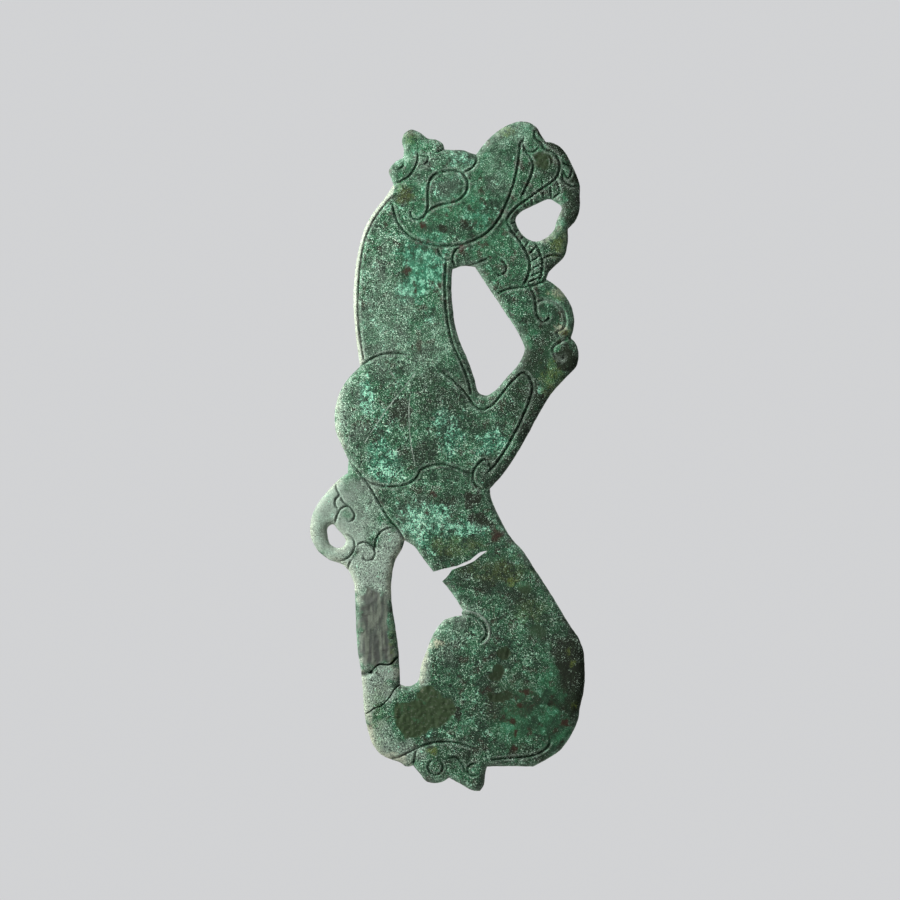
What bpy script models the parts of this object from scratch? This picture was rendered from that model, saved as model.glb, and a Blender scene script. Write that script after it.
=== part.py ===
"""Cast bronze animal mount: a flat openwork plaque of a crouching beast with its head thrown back.

Metres, +Z up. The carved front faces -Y. The flat back lies in the plane y = 0, and the
origin is on it, in the middle of the figure's height and width.

The figure is drawn on a sheet of 900 by 900 units, x to the right and y down. Each stroke is
a smooth curve through a few points, and one factor brings the sheet to the real height.
"""

import math

import bpy
import numpy as np
from mathutils.geometry import delaunay_2d_cdt

# Driving sizes
FIGURE_HEIGHT = 0.230        # from the crest of the head to the lowest toe
PLATE_THICKNESS = 0.0027     # over the flat middle of the casting
RIM_THICKNESS = 0.0013       # upright edge of the casting
EDGE_ROUNDING = 0.0032       # how far in the front rounds over towards the edge
SWELL_HEIGHT = 0.0005        # how far shoulder, haunch and cheek stand proud
LEAST_METAL = 0.0006         # metal left under the deepest cut

LINE_WIDTH = 0.0010          # the long chased lines
LINE_DEPTH = 0.00050
FINE_WIDTH = 0.0008          # teeth, curls and the lines of the face
FINE_DEPTH = 0.00035
CRACK_WIDTH = 0.0007         # the two old breaks in the hind leg
CRACK_DEPTH = 0.0012
CHIP_WIDTH = 0.0019          # the piece lost at the front of the upper leg break
CHIP_DEPTH = 0.0016
STROKE_TAPER = 0.0012        # a chased line runs out over this length
STROKE_END_SHARE = 0.3       # share of its depth that it still has at its tip

# How finely curves and faces are laid out, in sheet units
LONGEST_CHORD = 13.0
SHARPEST_TURN = math.radians(24)
FILL_SPACING = 15.0
FILL_CLEARANCE = 5.0
BORDER_ROWS = (0.25, 1.0)    # shares of the rounding's width
BORDER_CLEARANCE = 1.5       # border points keep this far from the outline and the cut lines
BORDER_SLACK = 0.96          # a border point may lie this share of its distance from the outline
EDGE_CLEARANCE = 1.2         # cut lines stop this far from the outline
WELD_DISTANCE = 0.3
CREASE_ANGLE = math.radians(30)

PATINA_COLOUR = (0.055, 0.125, 0.095, 1.0)
PATINA_ROUGHNESS = 0.62
PATINA_METALLIC = 0.25

# Cast outline, clockwise on the sheet. Each run is smooth and ends in a corner.
NECK_BACK = [(360, 366.5), (357.5, 350), (355.3, 332), (353.7, 312), (354.2, 281), (358.5, 250),
             (367, 223), (375, 210), (385, 197.5), (393.5, 184.5)]
EAR_LOBE = [(393.5, 184.5), (390.8, 177), (388.7, 171), (392, 165), (403, 157.5)]
EAR = [(403, 157.5), (403.8, 150), (402, 141), (404.2, 133.3), (411, 129.2), (420, 132.5),
       (428, 138), (437.5, 140), (443, 144), (444.6, 149)]
BROW = [(444.6, 149), (453, 149.6), (464, 150), (470.5, 152.6), (476, 154.2)]
CREST = [(476, 154.2), (486, 141.5), (497, 131.5), (508, 124.6), (520, 121.2), (531, 122.8),
         (536.5, 127), (541.5, 135), (546, 141.5)]
SNOUT = [(546, 141.5), (553, 142.5), (560, 146.3), (566, 153), (571, 162.5), (576, 173),
         (579.5, 183), (580, 196), (578.8, 213), (574, 222.5), (568, 228.5)]
NOSE_CURL = [(568, 228.5), (567.8, 242), (564.5, 256), (555, 266), (549, 272), (546.5, 279)]
PAW = [(546.5, 279), (561, 290), (571, 305), (574.5, 322), (571, 338)]
DEW_CURL = [(571, 338), (575.8, 343), (578.6, 352), (577, 365), (566, 377.5), (552, 393),
            (539, 414), (526, 438), (511, 463), (502, 475.5), (490, 488.5)]
BELLY = [(490, 488.5), (491, 497), (496, 510), (504, 526), (512, 539), (521, 548.5), (536, 571),
         (555, 600.5), (571, 627), (579, 638.5), (583.5, 651), (584.8, 668), (584.6, 686),
         (580.5, 706), (577, 723.5), (570, 737.5), (559, 751.5), (546, 760), (533, 767)]
RUMP_BASE = [(533, 767), (510, 766.5), (487, 767)]
TOE_SIDE = [(487, 767), (485, 776), (484, 785), (480, 791.2)]
TOES = [(480, 791.2), (473.5, 791), (461, 784.5), (449, 778)]
HEEL = [(449, 778), (442.5, 782), (434, 783.6), (426, 781.5), (420, 774), (413, 765.8)]
HIND_LEG = [(413, 765.8), (407, 767), (400, 762.8), (391, 759.6), (382, 755.5), (373.5, 746),
            (368, 731), (364.5, 714), (362.7, 691), (361, 672.5), (357.7, 651), (356, 626),
            (355, 597), (353.8, 584), (349, 571.5)]
TAIL = [(349, 571.5), (343.5, 565.6), (328, 559), (318.5, 551.5), (311.6, 540), (310, 525),
        (315, 508.5), (328, 490.5), (338, 480), (347.7, 472.7)]
TAIL_ROOT = [(347.7, 472.7), (348.3, 460)]
SHOULDER_EDGE = [(348.3, 460), (341.5, 445), (336.3, 433), (334.6, 419), (336, 404),
                 (341.5, 388.5), (349.5, 377), (360, 366.5)]
OUTER_EDGE = [NECK_BACK, EAR_LOBE, EAR, BROW, CREST, SNOUT, NOSE_CURL, PAW, DEW_CURL, BELLY,
              RUMP_BASE, TOE_SIDE, TOES, HEEL, HIND_LEG, TAIL, TAIL_ROOT, SHOULDER_EDGE]

# Openings in the casting
THROAT_GAP = [
    [(452.5, 269), (451.5, 287), (452.6, 306), (455.5, 327), (461, 344), (469, 362.5),
     (474.5, 379), (480, 393.5), (486.5, 395.3), (494.5, 391), (505, 379.5), (521, 360),
     (524.8, 349.5), (521, 338), (506, 313.5), (492, 292.5), (475, 266.8)],
    [(475, 266.8), (464, 265.8), (452.5, 269)],
]
MOUTH = [[(516, 218), (520.5, 212), (529, 207.2), (540, 202.2), (549, 198.7), (556, 201.8),
          (562, 207.5), (559.5, 214.5), (556.6, 221), (554.5, 229), (548.5, 236),
          (535, 241.4), (525.5, 237), (519, 229.5), (516, 218)]]
TAIL_EYE = [[(328, 527), (332.5, 524.5), (337.5, 529.3), (343.3, 536), (345.6, 542),
             (341.5, 547.5), (335.5, 547.8), (330, 544), (327.4, 536), (328, 527)]]
HOCK_GAP = [
    [(404.5, 540.5), (402.5, 547.5), (395, 561), (392.2, 574), (391.2, 598), (394.5, 622),
     (397.7, 645), (399.3, 665), (400, 684.7)],
    [(400, 684.7), (405, 686.2), (412, 685.8), (417.3, 682), (421, 666), (427, 650),
     (434.5, 632.5), (444, 620.5), (453, 617), (462.4, 616)],
    [(462.4, 616), (461.6, 613), (462.8, 610.3)],
    [(462.8, 610.3), (452, 593.5), (442.3, 581.5)],
]
HOCK_GAP_BODY_SIDE = [[(433.4, 571.8), (422, 557), (413.5, 546), (404.5, 540.5)]]

# The broken edges of the waist crack, which opens into the gap at the hock
WAIST_CRACK = [
    [(442.3, 581.5), (447, 576.8), (451.8, 570)],
    [(451.8, 570), (459, 567.4), (466, 564.9), (473, 561.7), (479, 557.2), (487.6, 550.8)],
    [(487.6, 550.8), (481, 552), (475.5, 555.6), (470.5, 559.8), (463.5, 562.9), (457, 566)],
    [(457, 566), (446, 568.2), (433.4, 571.8)],
]

# Long chased lines
CHASED_LINES = [
    # border down the back of the neck, and the one up its front
    [(397, 195.5), (391.5, 198), (385, 205), (378, 214), (371.5, 225), (366.3, 237), (361.8, 257),
     (358.8, 286), (358.4, 314), (361, 341), (364.7, 362.5)],
    [(446.5, 261), (445.2, 277), (445.3, 297), (447.5, 320), (453, 344), (460.5, 361),
     (466.5, 375), (471.5, 395.5)],
    # cheek, from the nostril round under the jaw and up behind the ear
    [(524, 138.5), (521, 143), (519.6, 153), (517.7, 167), (513.5, 185), (506.5, 203.5),
     (498, 220.5), (487.5, 232.5), (474, 240.5), (447, 246), (426, 243.3), (409, 235.5),
     (397.5, 221.5), (392.6, 204)],
    # tear-shaped eye with its lower curl
    [(440, 172.5), (433, 176.3), (429.3, 184), (428, 196), (428.2, 206), (425.2, 215), (419, 219.3),
     (413, 218), (410.9, 213), (413.3, 210.5)],
    [(440, 172.5), (452, 170.7), (462, 173.3), (467.6, 181.5), (466.5, 192), (459, 200.3),
     (447, 203.6), (437, 206.2), (428.5, 211.5), (421.5, 221.5)],
    # jaw, from nostril to lip
    [(534, 165), (531.5, 175.5), (526.8, 186.5), (521, 197.8)],
    # gums, with the front of the snout
    [(506.5, 221), (509.5, 215), (516, 207.7), (526, 200.3), (538, 191.7), (550.5, 183),
     (557.3, 176.7), (559.8, 168.5), (558.2, 159), (552, 151.8), (544.8, 149.3), (541.5, 143.3),
     (535.3, 137.5), (536, 128)],
    [(506.5, 221), (512, 231.5), (519.5, 240.8), (527, 253.5), (530.2, 266), (527.7, 277),
     (523, 286.5)],
    [(534.5, 242), (539, 250.5), (542.2, 260), (542.3, 270.5), (539, 281.5)],
    # jaw against the raised paw
    [(496.2, 295), (503.9, 290.8), (512.5, 288.2), (528, 286.5), (537, 284.5), (547, 280)],
    # paw, its claw curl and the round the curl sits in
    [(529, 287.5), (534, 294.3), (535.8, 303), (536.5, 312), (539, 318.7), (543.8, 321.8),
     (548, 319.5), (549.8, 314.8)],
    [(536, 306), (540, 301.3), (547, 300.2), (555.5, 302.8), (562, 308.7), (565.2, 317), (565.5, 324.5),
     (562, 330), (557.2, 332), (559.5, 337.2), (570, 338)],
    [(569.5, 338.8), (559, 342.9), (553, 348.5), (554.2, 354.5), (559, 358.6), (563.3, 359.5),
     (564.2, 355.5)],
    # shoulder over the neck
    [(360, 366.5), (369.5, 360), (380, 355.2), (392, 353.2), (411, 355)],
    [(440.5, 370.5), (449, 376.7), (459, 385.8), (467.5, 395), (474, 405), (482, 409.5),
     (491.5, 406), (502, 394), (513, 381), (524.8, 372.8), (530.3, 379), (532.5, 388), (530, 399),
     (522.5, 418), (514, 435), (504, 452.3), (496, 463.8), (485.8, 474.8)],
    # shoulder over the belly
    [(362.5, 476.3), (371.3, 483), (383.5, 486.3), (397.5, 486.5), (409.5, 483.2), (416.7, 477.5),
     (420.5, 470.8), (431, 465.9), (444, 464.7), (456, 467.7), (472.3, 475.6)],
    # knob of the elbow
    [(489.3, 467.5), (488.8, 461.8), (484.4, 459.8), (478.7, 463.6), (474, 471), (473, 479),
     (476.7, 486), (484.3, 490)],
    # far hind leg behind the belly
    [(348.8, 460.5), (362.5, 476.3), (372, 490), (380.5, 504.7), (389.5, 519.3), (400, 531.8),
     (404.4, 540.3)],
    # knee, rump and sole
    [(463, 613.6), (470, 615), (478.5, 618.7), (485, 625.7), (487, 632), (485, 638.3), (480, 642)],
    [(550.5, 740), (548.5, 746), (541, 752), (530, 756.2), (510, 758), (490, 760)],
    [(390, 758.8), (399, 756.8), (408, 752.8), (418, 748), (429, 743.6), (441, 742.2), (453, 742.4),
     (464, 745), (474, 748.5)],
    [(416.5, 749), (415, 757), (413.3, 765)],
]

# Fine lines: ear, brow, nostril, nose, chin, curls of tail and toes
FINE_LINES = [
    [(417.8, 151.5), (418, 159), (415.3, 167.5), (409.5, 175.8), (394, 184)],
    [(418.5, 153.5), (422.5, 156), (428, 156.3), (427.3, 162), (422.5, 165.3)],
    [(403.3, 161.5), (403, 166.5), (398.5, 169)],
    [(435, 153), (440, 151.2), (444.4, 149.2)],
    [(475.6, 154.6), (476.8, 161), (473, 167), (463.5, 173)],
    [(465.5, 155), (470.3, 158), (471.5, 162.5)],
    [(524, 139), (523.5, 146), (527.5, 151.3), (534, 151.5), (538.8, 147)],
    [(523.5, 151), (529, 155.5), (534, 165)],
    [(550, 156), (551.8, 161), (551.2, 166)],
    [(561, 162), (572.5, 167.5)],
    [(562, 168), (568.6, 178), (572.9, 167)],
    [(561.8, 172), (565.5, 182.5), (571.5, 186), (579, 185.8)],
    [(541.8, 260), (550, 255.6), (558.5, 255.5), (564, 256.8)],
    [(501.8, 259.5), (505.7, 264.5), (505.5, 271.5), (500, 275.3)],
    [(455.5, 267.4), (452.8, 258), (456, 250), (463, 246)],
    [(456, 267.4), (466, 266), (476, 263.4), (489, 257.8)],
    [(438.3, 247.5), (440, 254.5), (444, 258.6), (452, 259.3)],
    [(336.4, 482.8), (336.6, 488.5), (339.2, 495.5), (335.8, 499.3), (335.4, 505), (339.5, 509.8)],
    [(340.8, 496), (342.5, 500.5), (352, 509.5), (354.8, 515), (352.8, 520.3), (349, 521.5),
     (347.2, 518.8)],
    [(335.2, 523.5), (337.4, 515.5), (341, 509), (346, 506.5), (351, 508.2)],
    [(344.2, 535), (350, 536), (354.2, 541), (354.5, 548.5), (350, 556.2), (344.5, 560.2),
     (337.5, 560.5)],
    [(351.8, 560.3), (349, 565.5), (348.8, 571)],
    [(357, 546), (361.4, 542.8), (367, 542.7), (373, 546.7), (375.3, 553), (373, 559),
     (368.5, 560.6), (364, 558.6), (363.8, 555)],
    [(375.5, 551), (376, 540.5), (380, 533), (387, 528.6), (394, 528)],
    [(433, 759.5), (429, 763.7), (428.5, 769), (431.8, 773.7), (437.5, 774.5), (442, 770.7),
     (442.7, 765), (440, 761)],
    [(449, 758.5), (456, 757), (461, 762.5), (465.5, 771.5)],
    [(479, 765.5), (473, 763.7), (468.2, 767.5), (468.2, 772.7), (472.5, 776), (477.5, 775)],
]

# Teeth: each is one short straight stroke, from the gum to the lip
UPPER_TEETH = [
    [(516.9, 208.8), (519.4, 213.3)], [(524.6, 202), (525.6, 209.3)], [(531.6, 196.5), (533.2, 205.6)],
    [(542.6, 180), (542.8, 186)], [(542.8, 189.3), (543.8, 200.8)], [(550.5, 184.3), (551.5, 199)],
    [(555.8, 179), (560.6, 192.7)], [(560, 192.7), (552.6, 199)], [(560.5, 177), (564.6, 184.5)],
]
LOWER_TEETH = [
    [(511, 224.2), (516.5, 221)], [(515.4, 234), (519.2, 229.5)], [(520.5, 241.2), (524, 235)],
    [(525, 248.2), (529.6, 239.5)], [(529, 254.5), (536.5, 246.5)], [(530.5, 262), (540.8, 255.3)],
    [(531, 270), (541.8, 263.5)], [(530, 276.6), (541.5, 271.5)], [(528, 282.5), (540, 277.3)],
]

# Old breaks across the hind leg, with the chip at the start of the upper one
LEG_CRACKS = [
    [(370.5, 672.3), (376, 666.6), (379.5, 664.4), (386, 665), (391, 664), (395, 659.6), (399.6, 656)],
    [(363.6, 715.3), (370, 711.6), (374.5, 708), (380, 706.6), (385, 702.6), (390, 696.6),
     (394, 690.2), (400.5, 684.6)],
]
LEG_CHIP = [[(359.5, 673.8), (366, 674), (370.5, 672.3)]]

# Forms that stand a little proud: middle and half-widths on the sheet
SWELLS = [((404, 418), (72, 66)), ((505, 688), (84, 80)), ((450, 203), (60, 44))]


def smooth(run):
    """Stations of a smooth curve through a run's points, closer together where it bends."""
    points = np.array(run, dtype=float)
    closed = len(run) > 3 and run[0] == run[-1]
    chords = np.diff(points, axis=0)
    lengths = np.linalg.norm(chords, axis=1)
    slopes = chords / lengths[:, None]
    if len(run) == 2:
        tangents = np.vstack((slopes, slopes))
    else:
        before, after = lengths[:-1, None], lengths[1:, None]
        inner = (slopes[1:] * before + slopes[:-1] * after) / (before + after)
        first, last = 1.5 * slopes[0] - 0.5 * inner[0], 1.5 * slopes[-1] - 0.5 * inner[-1]
        if closed:
            first = (slopes[0] * lengths[-1] + slopes[-1] * lengths[0]) / (lengths[0] + lengths[-1])
            last = first
        tangents = np.vstack((first, inner, last))
    stations = [points[:1]]
    for index, length in enumerate(lengths):
        start, end = tangents[index], tangents[index + 1]
        facing = np.dot(start, end) / (np.linalg.norm(start) * np.linalg.norm(end))
        turn = math.acos(max(-1.0, min(1.0, facing)))
        count = max(1, math.ceil(turn / SHARPEST_TURN), math.ceil(length / LONGEST_CHORD))
        t = (np.arange(1, count + 1) / count)[:, None]
        stations.append((2 * t**3 - 3 * t**2 + 1) * points[index] + (t**3 - 2 * t**2 + t) * length * start
                        + (3 * t**2 - 2 * t**3) * points[index + 1] + (t**3 - t**2) * length * end)
    return np.vstack(stations)


def join(runs):
    """One loop or path from runs that follow each other, without the doubled corners."""
    stations = [smooth(run)[:-1] for run in runs]
    return np.vstack(stations + [np.array(runs[-1][-1:], dtype=float)])


def segments(paths):
    """Start and end points of every segment of the paths."""
    return np.vstack([path[:-1] for path in paths]), np.vstack([path[1:] for path in paths])


def nearest(points, starts, ends):
    """Distance from each point to the nearest segment, which segment, and how far along it."""
    along = ends - starts
    reach = points[:, None, :] - starts[None]
    share = np.einsum("pij,ij->pi", reach, along) / np.maximum((along**2).sum(axis=1), 1e-12)
    share = np.clip(share, 0.0, 1.0)
    gaps = np.linalg.norm(reach - share[..., None] * along, axis=2)
    index = gaps.argmin(axis=1)
    rows = np.arange(len(points))
    return gaps[rows, index], index, share[rows, index]


def inside(points, starts, ends):
    """True for each point with metal under it: an odd number of outline segments lies to its right."""
    x, y = points[:, :1], points[:, 1:]
    crosses = (starts[:, 1] > y) != (ends[:, 1] > y)
    rise = np.where(ends[:, 1] == starts[:, 1], 1.0, ends[:, 1] - starts[:, 1])
    at = starts[:, 0] + (y - starts[:, 1]) * (ends[:, 0] - starts[:, 0]) / rise
    return (crosses & (x < at)).sum(axis=1) % 2 == 1


def row_beside(path, distance):
    """The path moved sideways by a distance, on the side its normal points to."""
    ahead = np.gradient(path, axis=0)
    ahead /= np.linalg.norm(ahead, axis=1)[:, None]
    return path + distance * np.column_stack((-ahead[:, 1], ahead[:, 0]))


class Figure:
    """The drawing on the sheet, and the height of the casting's front at any place on it."""

    def __init__(self):
        hock_gap = join(HOCK_GAP + WAIST_CRACK + HOCK_GAP_BODY_SIDE)
        self.loops = [join(OUTER_EDGE), join(THROAT_GAP), join(MOUTH), join(TAIL_EYE), hock_gap]
        cast_gap = [join(HOCK_GAP), join(HOCK_GAP_BODY_SIDE)]
        self.cast_edges = segments(self.loops[:4] + cast_gap)
        low, high = self.loops[0].min(axis=0), self.loops[0].max(axis=0)
        self.unit = FIGURE_HEIGHT / (high[1] - low[1])
        self.middle = (low + high) / 2
        self.cuts = []
        for runs, width, depth, taper in (
                (CHASED_LINES, LINE_WIDTH, LINE_DEPTH, STROKE_TAPER),
                (FINE_LINES + UPPER_TEETH + LOWER_TEETH, FINE_WIDTH, FINE_DEPTH, STROKE_TAPER),
                (LEG_CRACKS, CRACK_WIDTH, CRACK_DEPTH, 0.0),
                (LEG_CHIP, CHIP_WIDTH, CHIP_DEPTH, 0.0)):
            self.cuts.append(Cut([smooth(run) for run in runs], width / self.unit, depth,
                                 taper / self.unit))

    def front_height(self, points):
        """Height of the front above the back: rounded at cast edges, swelling, and cut by lines."""
        gap, _, _ = nearest(points, *self.cast_edges)
        share = np.clip(gap * self.unit / EDGE_ROUNDING, 0.0, 1.0)
        round_over = np.sqrt(share * (2.0 - share))
        height = RIM_THICKNESS + (PLATE_THICKNESS - RIM_THICKNESS) * round_over
        for centre, spread in SWELLS:
            away = ((points - centre) / spread)**2
            bump = np.clip(1.0 - away.sum(axis=1), 0.0, 1.0)
            height += SWELL_HEIGHT * bump * share
        for cut in self.cuts:
            height -= cut.depth_at(points)
        return np.maximum(height, LEAST_METAL)

    def place(self, points, heights):
        """World positions, in metres, of sheet points at the given heights above the back."""
        flat = (points - self.middle) * self.unit
        return np.column_stack((flat[:, 0], -heights, -flat[:, 1]))


class Cut:
    """Lines of one width and depth, cut as a rounded groove that runs out at its ends."""

    def __init__(self, paths, width, depth, taper):
        self.paths = paths
        self.half_width = width / 2
        self.depth = depth
        self.starts, self.ends = segments(paths)
        self.bites = np.vstack([self.bite(path, taper) for path in paths])

    @staticmethod
    def bite(path, taper):
        """Share of the full depth at the start and end of each segment."""
        steps = np.linalg.norm(np.diff(path, axis=0), axis=1)
        walked = np.concatenate(([0.0], np.cumsum(steps)))
        if taper == 0.0:
            share = np.ones(len(walked))
        else:
            share = np.clip(np.minimum(walked, walked[-1] - walked) / taper, STROKE_END_SHARE, 1.0)
        return np.column_stack((share[:-1], share[1:]))

    def depth_at(self, points):
        """How deep these lines cut at each point."""
        gap, index, along = nearest(points, self.starts, self.ends)
        share = self.bites[index, 0] * (1.0 - along) + self.bites[index, 1] * along
        return self.depth * share * np.clip(1.0 - (gap / self.half_width)**2, 0.0, 1.0)


def layout(figure):
    """Points and fixed edges for the front: outline, cut lines, rounded border and an even fill."""
    rows, edges = [], []
    outline = segments(figure.loops)

    def lay(path, keep):
        """Add the kept points of a path, and fix the edges between neighbours."""
        first = sum(len(row) for row in rows)
        number = first + np.cumsum(keep) - 1
        rows.append(path[keep])
        edges.extend((int(number[index]), int(number[index + 1]))
                     for index in range(len(path) - 1) if keep[index] and keep[index + 1])

    for loop in figure.loops:
        lay(loop, np.ones(len(loop), dtype=bool))
    for cut in figure.cuts:
        for path in cut.paths:
            for side in (0.0, -cut.half_width, cut.half_width):
                row = row_beside(path, side)
                lay(row, (nearest(row, *outline)[0] > EDGE_CLEARANCE) & inside(row, *outline))
    lines = np.vstack(rows)
    for share in BORDER_ROWS:
        distance = share * EDGE_ROUNDING / figure.unit
        row = np.vstack([row_beside(loop, side) for loop in figure.loops for side in (-distance, distance)])
        clear = nearest(row, *outline)[0] > BORDER_SLACK * distance
        rows.append(away_from(row[clear & inside(row, *outline)], lines, BORDER_CLEARANCE))

    low, high = figure.loops[0].min(axis=0), figure.loops[0].max(axis=0)
    across, down = np.meshgrid(np.arange(low[0], high[0], FILL_SPACING),
                               np.arange(low[1], high[1], FILL_SPACING * math.sqrt(0.75)))
    across[1::2] += FILL_SPACING / 2
    fill = np.column_stack((across.ravel(), down.ravel()))
    rows.append(away_from(fill[inside(fill, *outline)], np.vstack(rows), FILL_CLEARANCE))
    return np.vstack(rows), edges


def away_from(points, others, distance):
    """The points that keep a distance from all the others."""
    return points[np.linalg.norm(points[:, None] - others[None], axis=2).min(axis=1) > distance]


def triangulate(points, edges, loops):
    """Triangles over the metal, with the fixed edges kept, counter-clockwise as the sheet is seen."""
    verts, _, faces, _, _, _ = delaunay_2d_cdt(points.tolist(), edges, [], 0, WELD_DISTANCE, False)
    verts = np.array([tuple(vert) for vert in verts])
    faces = np.array(faces)
    corners = verts[faces]
    faces = faces[inside(corners.mean(axis=1), *segments(loops))]
    first, second = verts[faces[:, 1]] - verts[faces[:, 0]], verts[faces[:, 2]] - verts[faces[:, 0]]
    clockwise = first[:, 0] * second[:, 1] > first[:, 1] * second[:, 0]
    faces[clockwise] = faces[clockwise][:, ::-1]
    return verts, faces


def outline_numbers(verts, loops):
    """The number of each loop point among the vertices, loop by loop."""
    return [np.linalg.norm(verts[None] - loop[:-1, None], axis=2).argmin(axis=1) for loop in loops]


def casting_mesh(figure):
    """The whole casting: carved front, upright edge and flat back, as one closed mesh."""
    front_verts, front = triangulate(*layout(figure), figure.loops)
    used = np.unique(front)
    front_verts, front = front_verts[used], np.searchsorted(used, front)

    back_edges = []
    for loop in figure.loops:
        first = len(back_edges)
        count = len(loop) - 1
        back_edges += [(first + index, first + (index + 1) % count) for index in range(count)]
    back_verts, back = triangulate(np.vstack([loop[:-1] for loop in figure.loops]), back_edges,
                                   figure.loops)

    offset = len(front_verts)
    known = {(a, b) for face in front.tolist() for a, b in zip(face, face[1:] + face[:1])}
    walls = []
    for top, low in zip(outline_numbers(front_verts, figure.loops),
                        outline_numbers(back_verts, figure.loops)):
        ring = list(zip(top.tolist(), (low + offset).tolist()))
        for (top_a, low_a), (top_b, low_b) in zip(ring, ring[1:] + ring[:1]):
            quad = (top_b, top_a, low_a, low_b) if (top_a, top_b) in known else (top_a, top_b, low_b, low_a)
            walls.append(quad)

    positions = np.vstack((figure.place(front_verts, figure.front_height(front_verts)),
                           figure.place(back_verts, np.zeros(len(back_verts)))))
    faces = front.tolist() + (back[:, ::-1] + offset).tolist() + walls
    mesh = bpy.data.meshes.new("animal_mount")
    mesh.from_pydata(positions.tolist(), [], faces)
    mesh.validate()
    return mesh


def patina_material():
    """Green corroded bronze."""
    material = bpy.data.materials.new("green_bronze")
    material.use_nodes = True
    shader = material.node_tree.nodes["Principled BSDF"]
    shader.inputs["Base Color"].default_value = PATINA_COLOUR
    shader.inputs["Roughness"].default_value = PATINA_ROUGHNESS
    shader.inputs["Metallic"].default_value = PATINA_METALLIC
    return material


def clear_scene():
    """Remove whatever the scene starts with."""
    for thing in list(bpy.data.objects):
        bpy.data.objects.remove(thing, do_unlink=True)


def main():
    """Build the mount in a collection of its own."""
    clear_scene()
    collection = bpy.data.collections.new("Bronze animal mount")
    bpy.context.scene.collection.children.link(collection)
    mount = bpy.data.objects.new("animal_mount", casting_mesh(Figure()))
    mount.data.materials.append(patina_material())
    mount.data.shade_smooth()
    mount.data.set_sharp_from_angle(angle=CREASE_ANGLE)
    collection.objects.link(mount)


main()
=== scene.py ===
"""Looks of the bronze animal mount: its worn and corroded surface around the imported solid.

Metres, +Z up, the carved front towards -Y and the flat back in the plane y = 0. The figure is
drawn on a sheet of 900 by 900 units, x to the right and y down, with the strokes that the solid
is cut from. The strokes are laid out more finely here, and the surface between them carries the
corrosion: crust, pits, scratches and grain.
"""

import logging
import math
from dataclasses import dataclass
from enum import Enum
from typing import NamedTuple, Sequence

import bpy
import numpy as np
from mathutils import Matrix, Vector
from mathutils.geometry import delaunay_2d_cdt

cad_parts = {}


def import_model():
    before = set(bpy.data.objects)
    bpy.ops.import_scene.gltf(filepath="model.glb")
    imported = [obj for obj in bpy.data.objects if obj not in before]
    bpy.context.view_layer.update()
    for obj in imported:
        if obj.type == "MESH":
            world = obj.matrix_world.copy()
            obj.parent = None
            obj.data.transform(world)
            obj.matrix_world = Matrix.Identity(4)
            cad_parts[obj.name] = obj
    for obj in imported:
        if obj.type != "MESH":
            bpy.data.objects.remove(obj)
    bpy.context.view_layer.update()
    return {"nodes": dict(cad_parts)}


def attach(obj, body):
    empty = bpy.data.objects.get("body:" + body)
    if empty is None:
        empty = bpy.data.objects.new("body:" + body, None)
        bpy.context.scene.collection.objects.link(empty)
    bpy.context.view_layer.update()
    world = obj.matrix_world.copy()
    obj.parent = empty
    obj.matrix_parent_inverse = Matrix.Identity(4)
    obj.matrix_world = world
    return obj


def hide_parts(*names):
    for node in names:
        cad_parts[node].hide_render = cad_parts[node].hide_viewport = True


LOG = logging.getLogger("animal_mount")

Run = list[tuple[float, float]]

# Cast outline, clockwise on the sheet. Each run is smooth and ends in a corner.
NECK_BACK = [
    (360, 366.5), (357.5, 350), (355.3, 332), (353.7, 312), (354.2, 281), (358.5, 250), (367, 223),
    (375, 210), (385, 197.5), (393.5, 184.5),
]
EAR_LOBE = [(393.5, 184.5), (390.8, 177), (388.7, 171), (392, 165), (403, 157.5)]
EAR = [
    (403, 157.5), (403.8, 150), (402, 141), (404.2, 133.3), (411, 129.2), (420, 132.5), (428, 138),
    (437.5, 140), (443, 144), (444.6, 149),
]
BROW = [(444.6, 149), (453, 149.6), (464, 150), (470.5, 152.6), (476, 154.2)]
CREST = [
    (476, 154.2), (486, 141.5), (497, 131.5), (508, 124.6), (520, 121.2), (531, 122.8), (536.5, 127),
    (541.5, 135), (546, 141.5),
]
SNOUT = [
    (546, 141.5), (553, 142.5), (560, 146.3), (566, 153), (571, 162.5), (576, 173), (579.5, 183),
    (580, 196), (578.8, 213), (574, 222.5), (568, 228.5),
]
NOSE_CURL = [(568, 228.5), (567.8, 242), (564.5, 256), (555, 266), (549, 272), (546.5, 279)]
PAW = [(546.5, 279), (561, 290), (571, 305), (574.5, 322), (571, 338)]
DEW_CURL = [
    (571, 338), (575.8, 343), (578.6, 352), (577, 365), (566, 377.5), (552, 393), (539, 414),
    (526, 438), (511, 463), (502, 475.5), (490, 488.5),
]
BELLY = [
    (490, 488.5), (491, 497), (496, 510), (504, 526), (512, 539), (521, 548.5), (536, 571),
    (555, 600.5), (571, 627), (579, 638.5), (583.5, 651), (584.8, 668), (584.6, 686), (580.5, 706),
    (577, 723.5), (570, 737.5), (559, 751.5), (546, 760), (533, 767),
]
RUMP_BASE = [(533, 767), (510, 766.5), (487, 767)]
TOE_SIDE = [(487, 767), (485, 776), (484, 785), (480, 791.2)]
TOES = [(480, 791.2), (473.5, 791), (461, 784.5), (449, 778)]
HEEL = [(449, 778), (442.5, 782), (434, 783.6), (426, 781.5), (420, 774), (413, 765.8)]
HIND_LEG = [
    (413, 765.8), (407, 767), (400, 762.8), (391, 759.6), (382, 755.5), (373.5, 746), (368, 731),
    (364.5, 714), (362.7, 691), (361, 672.5), (357.7, 651), (356, 626), (355, 597), (353.8, 584),
    (349, 571.5),
]
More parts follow.
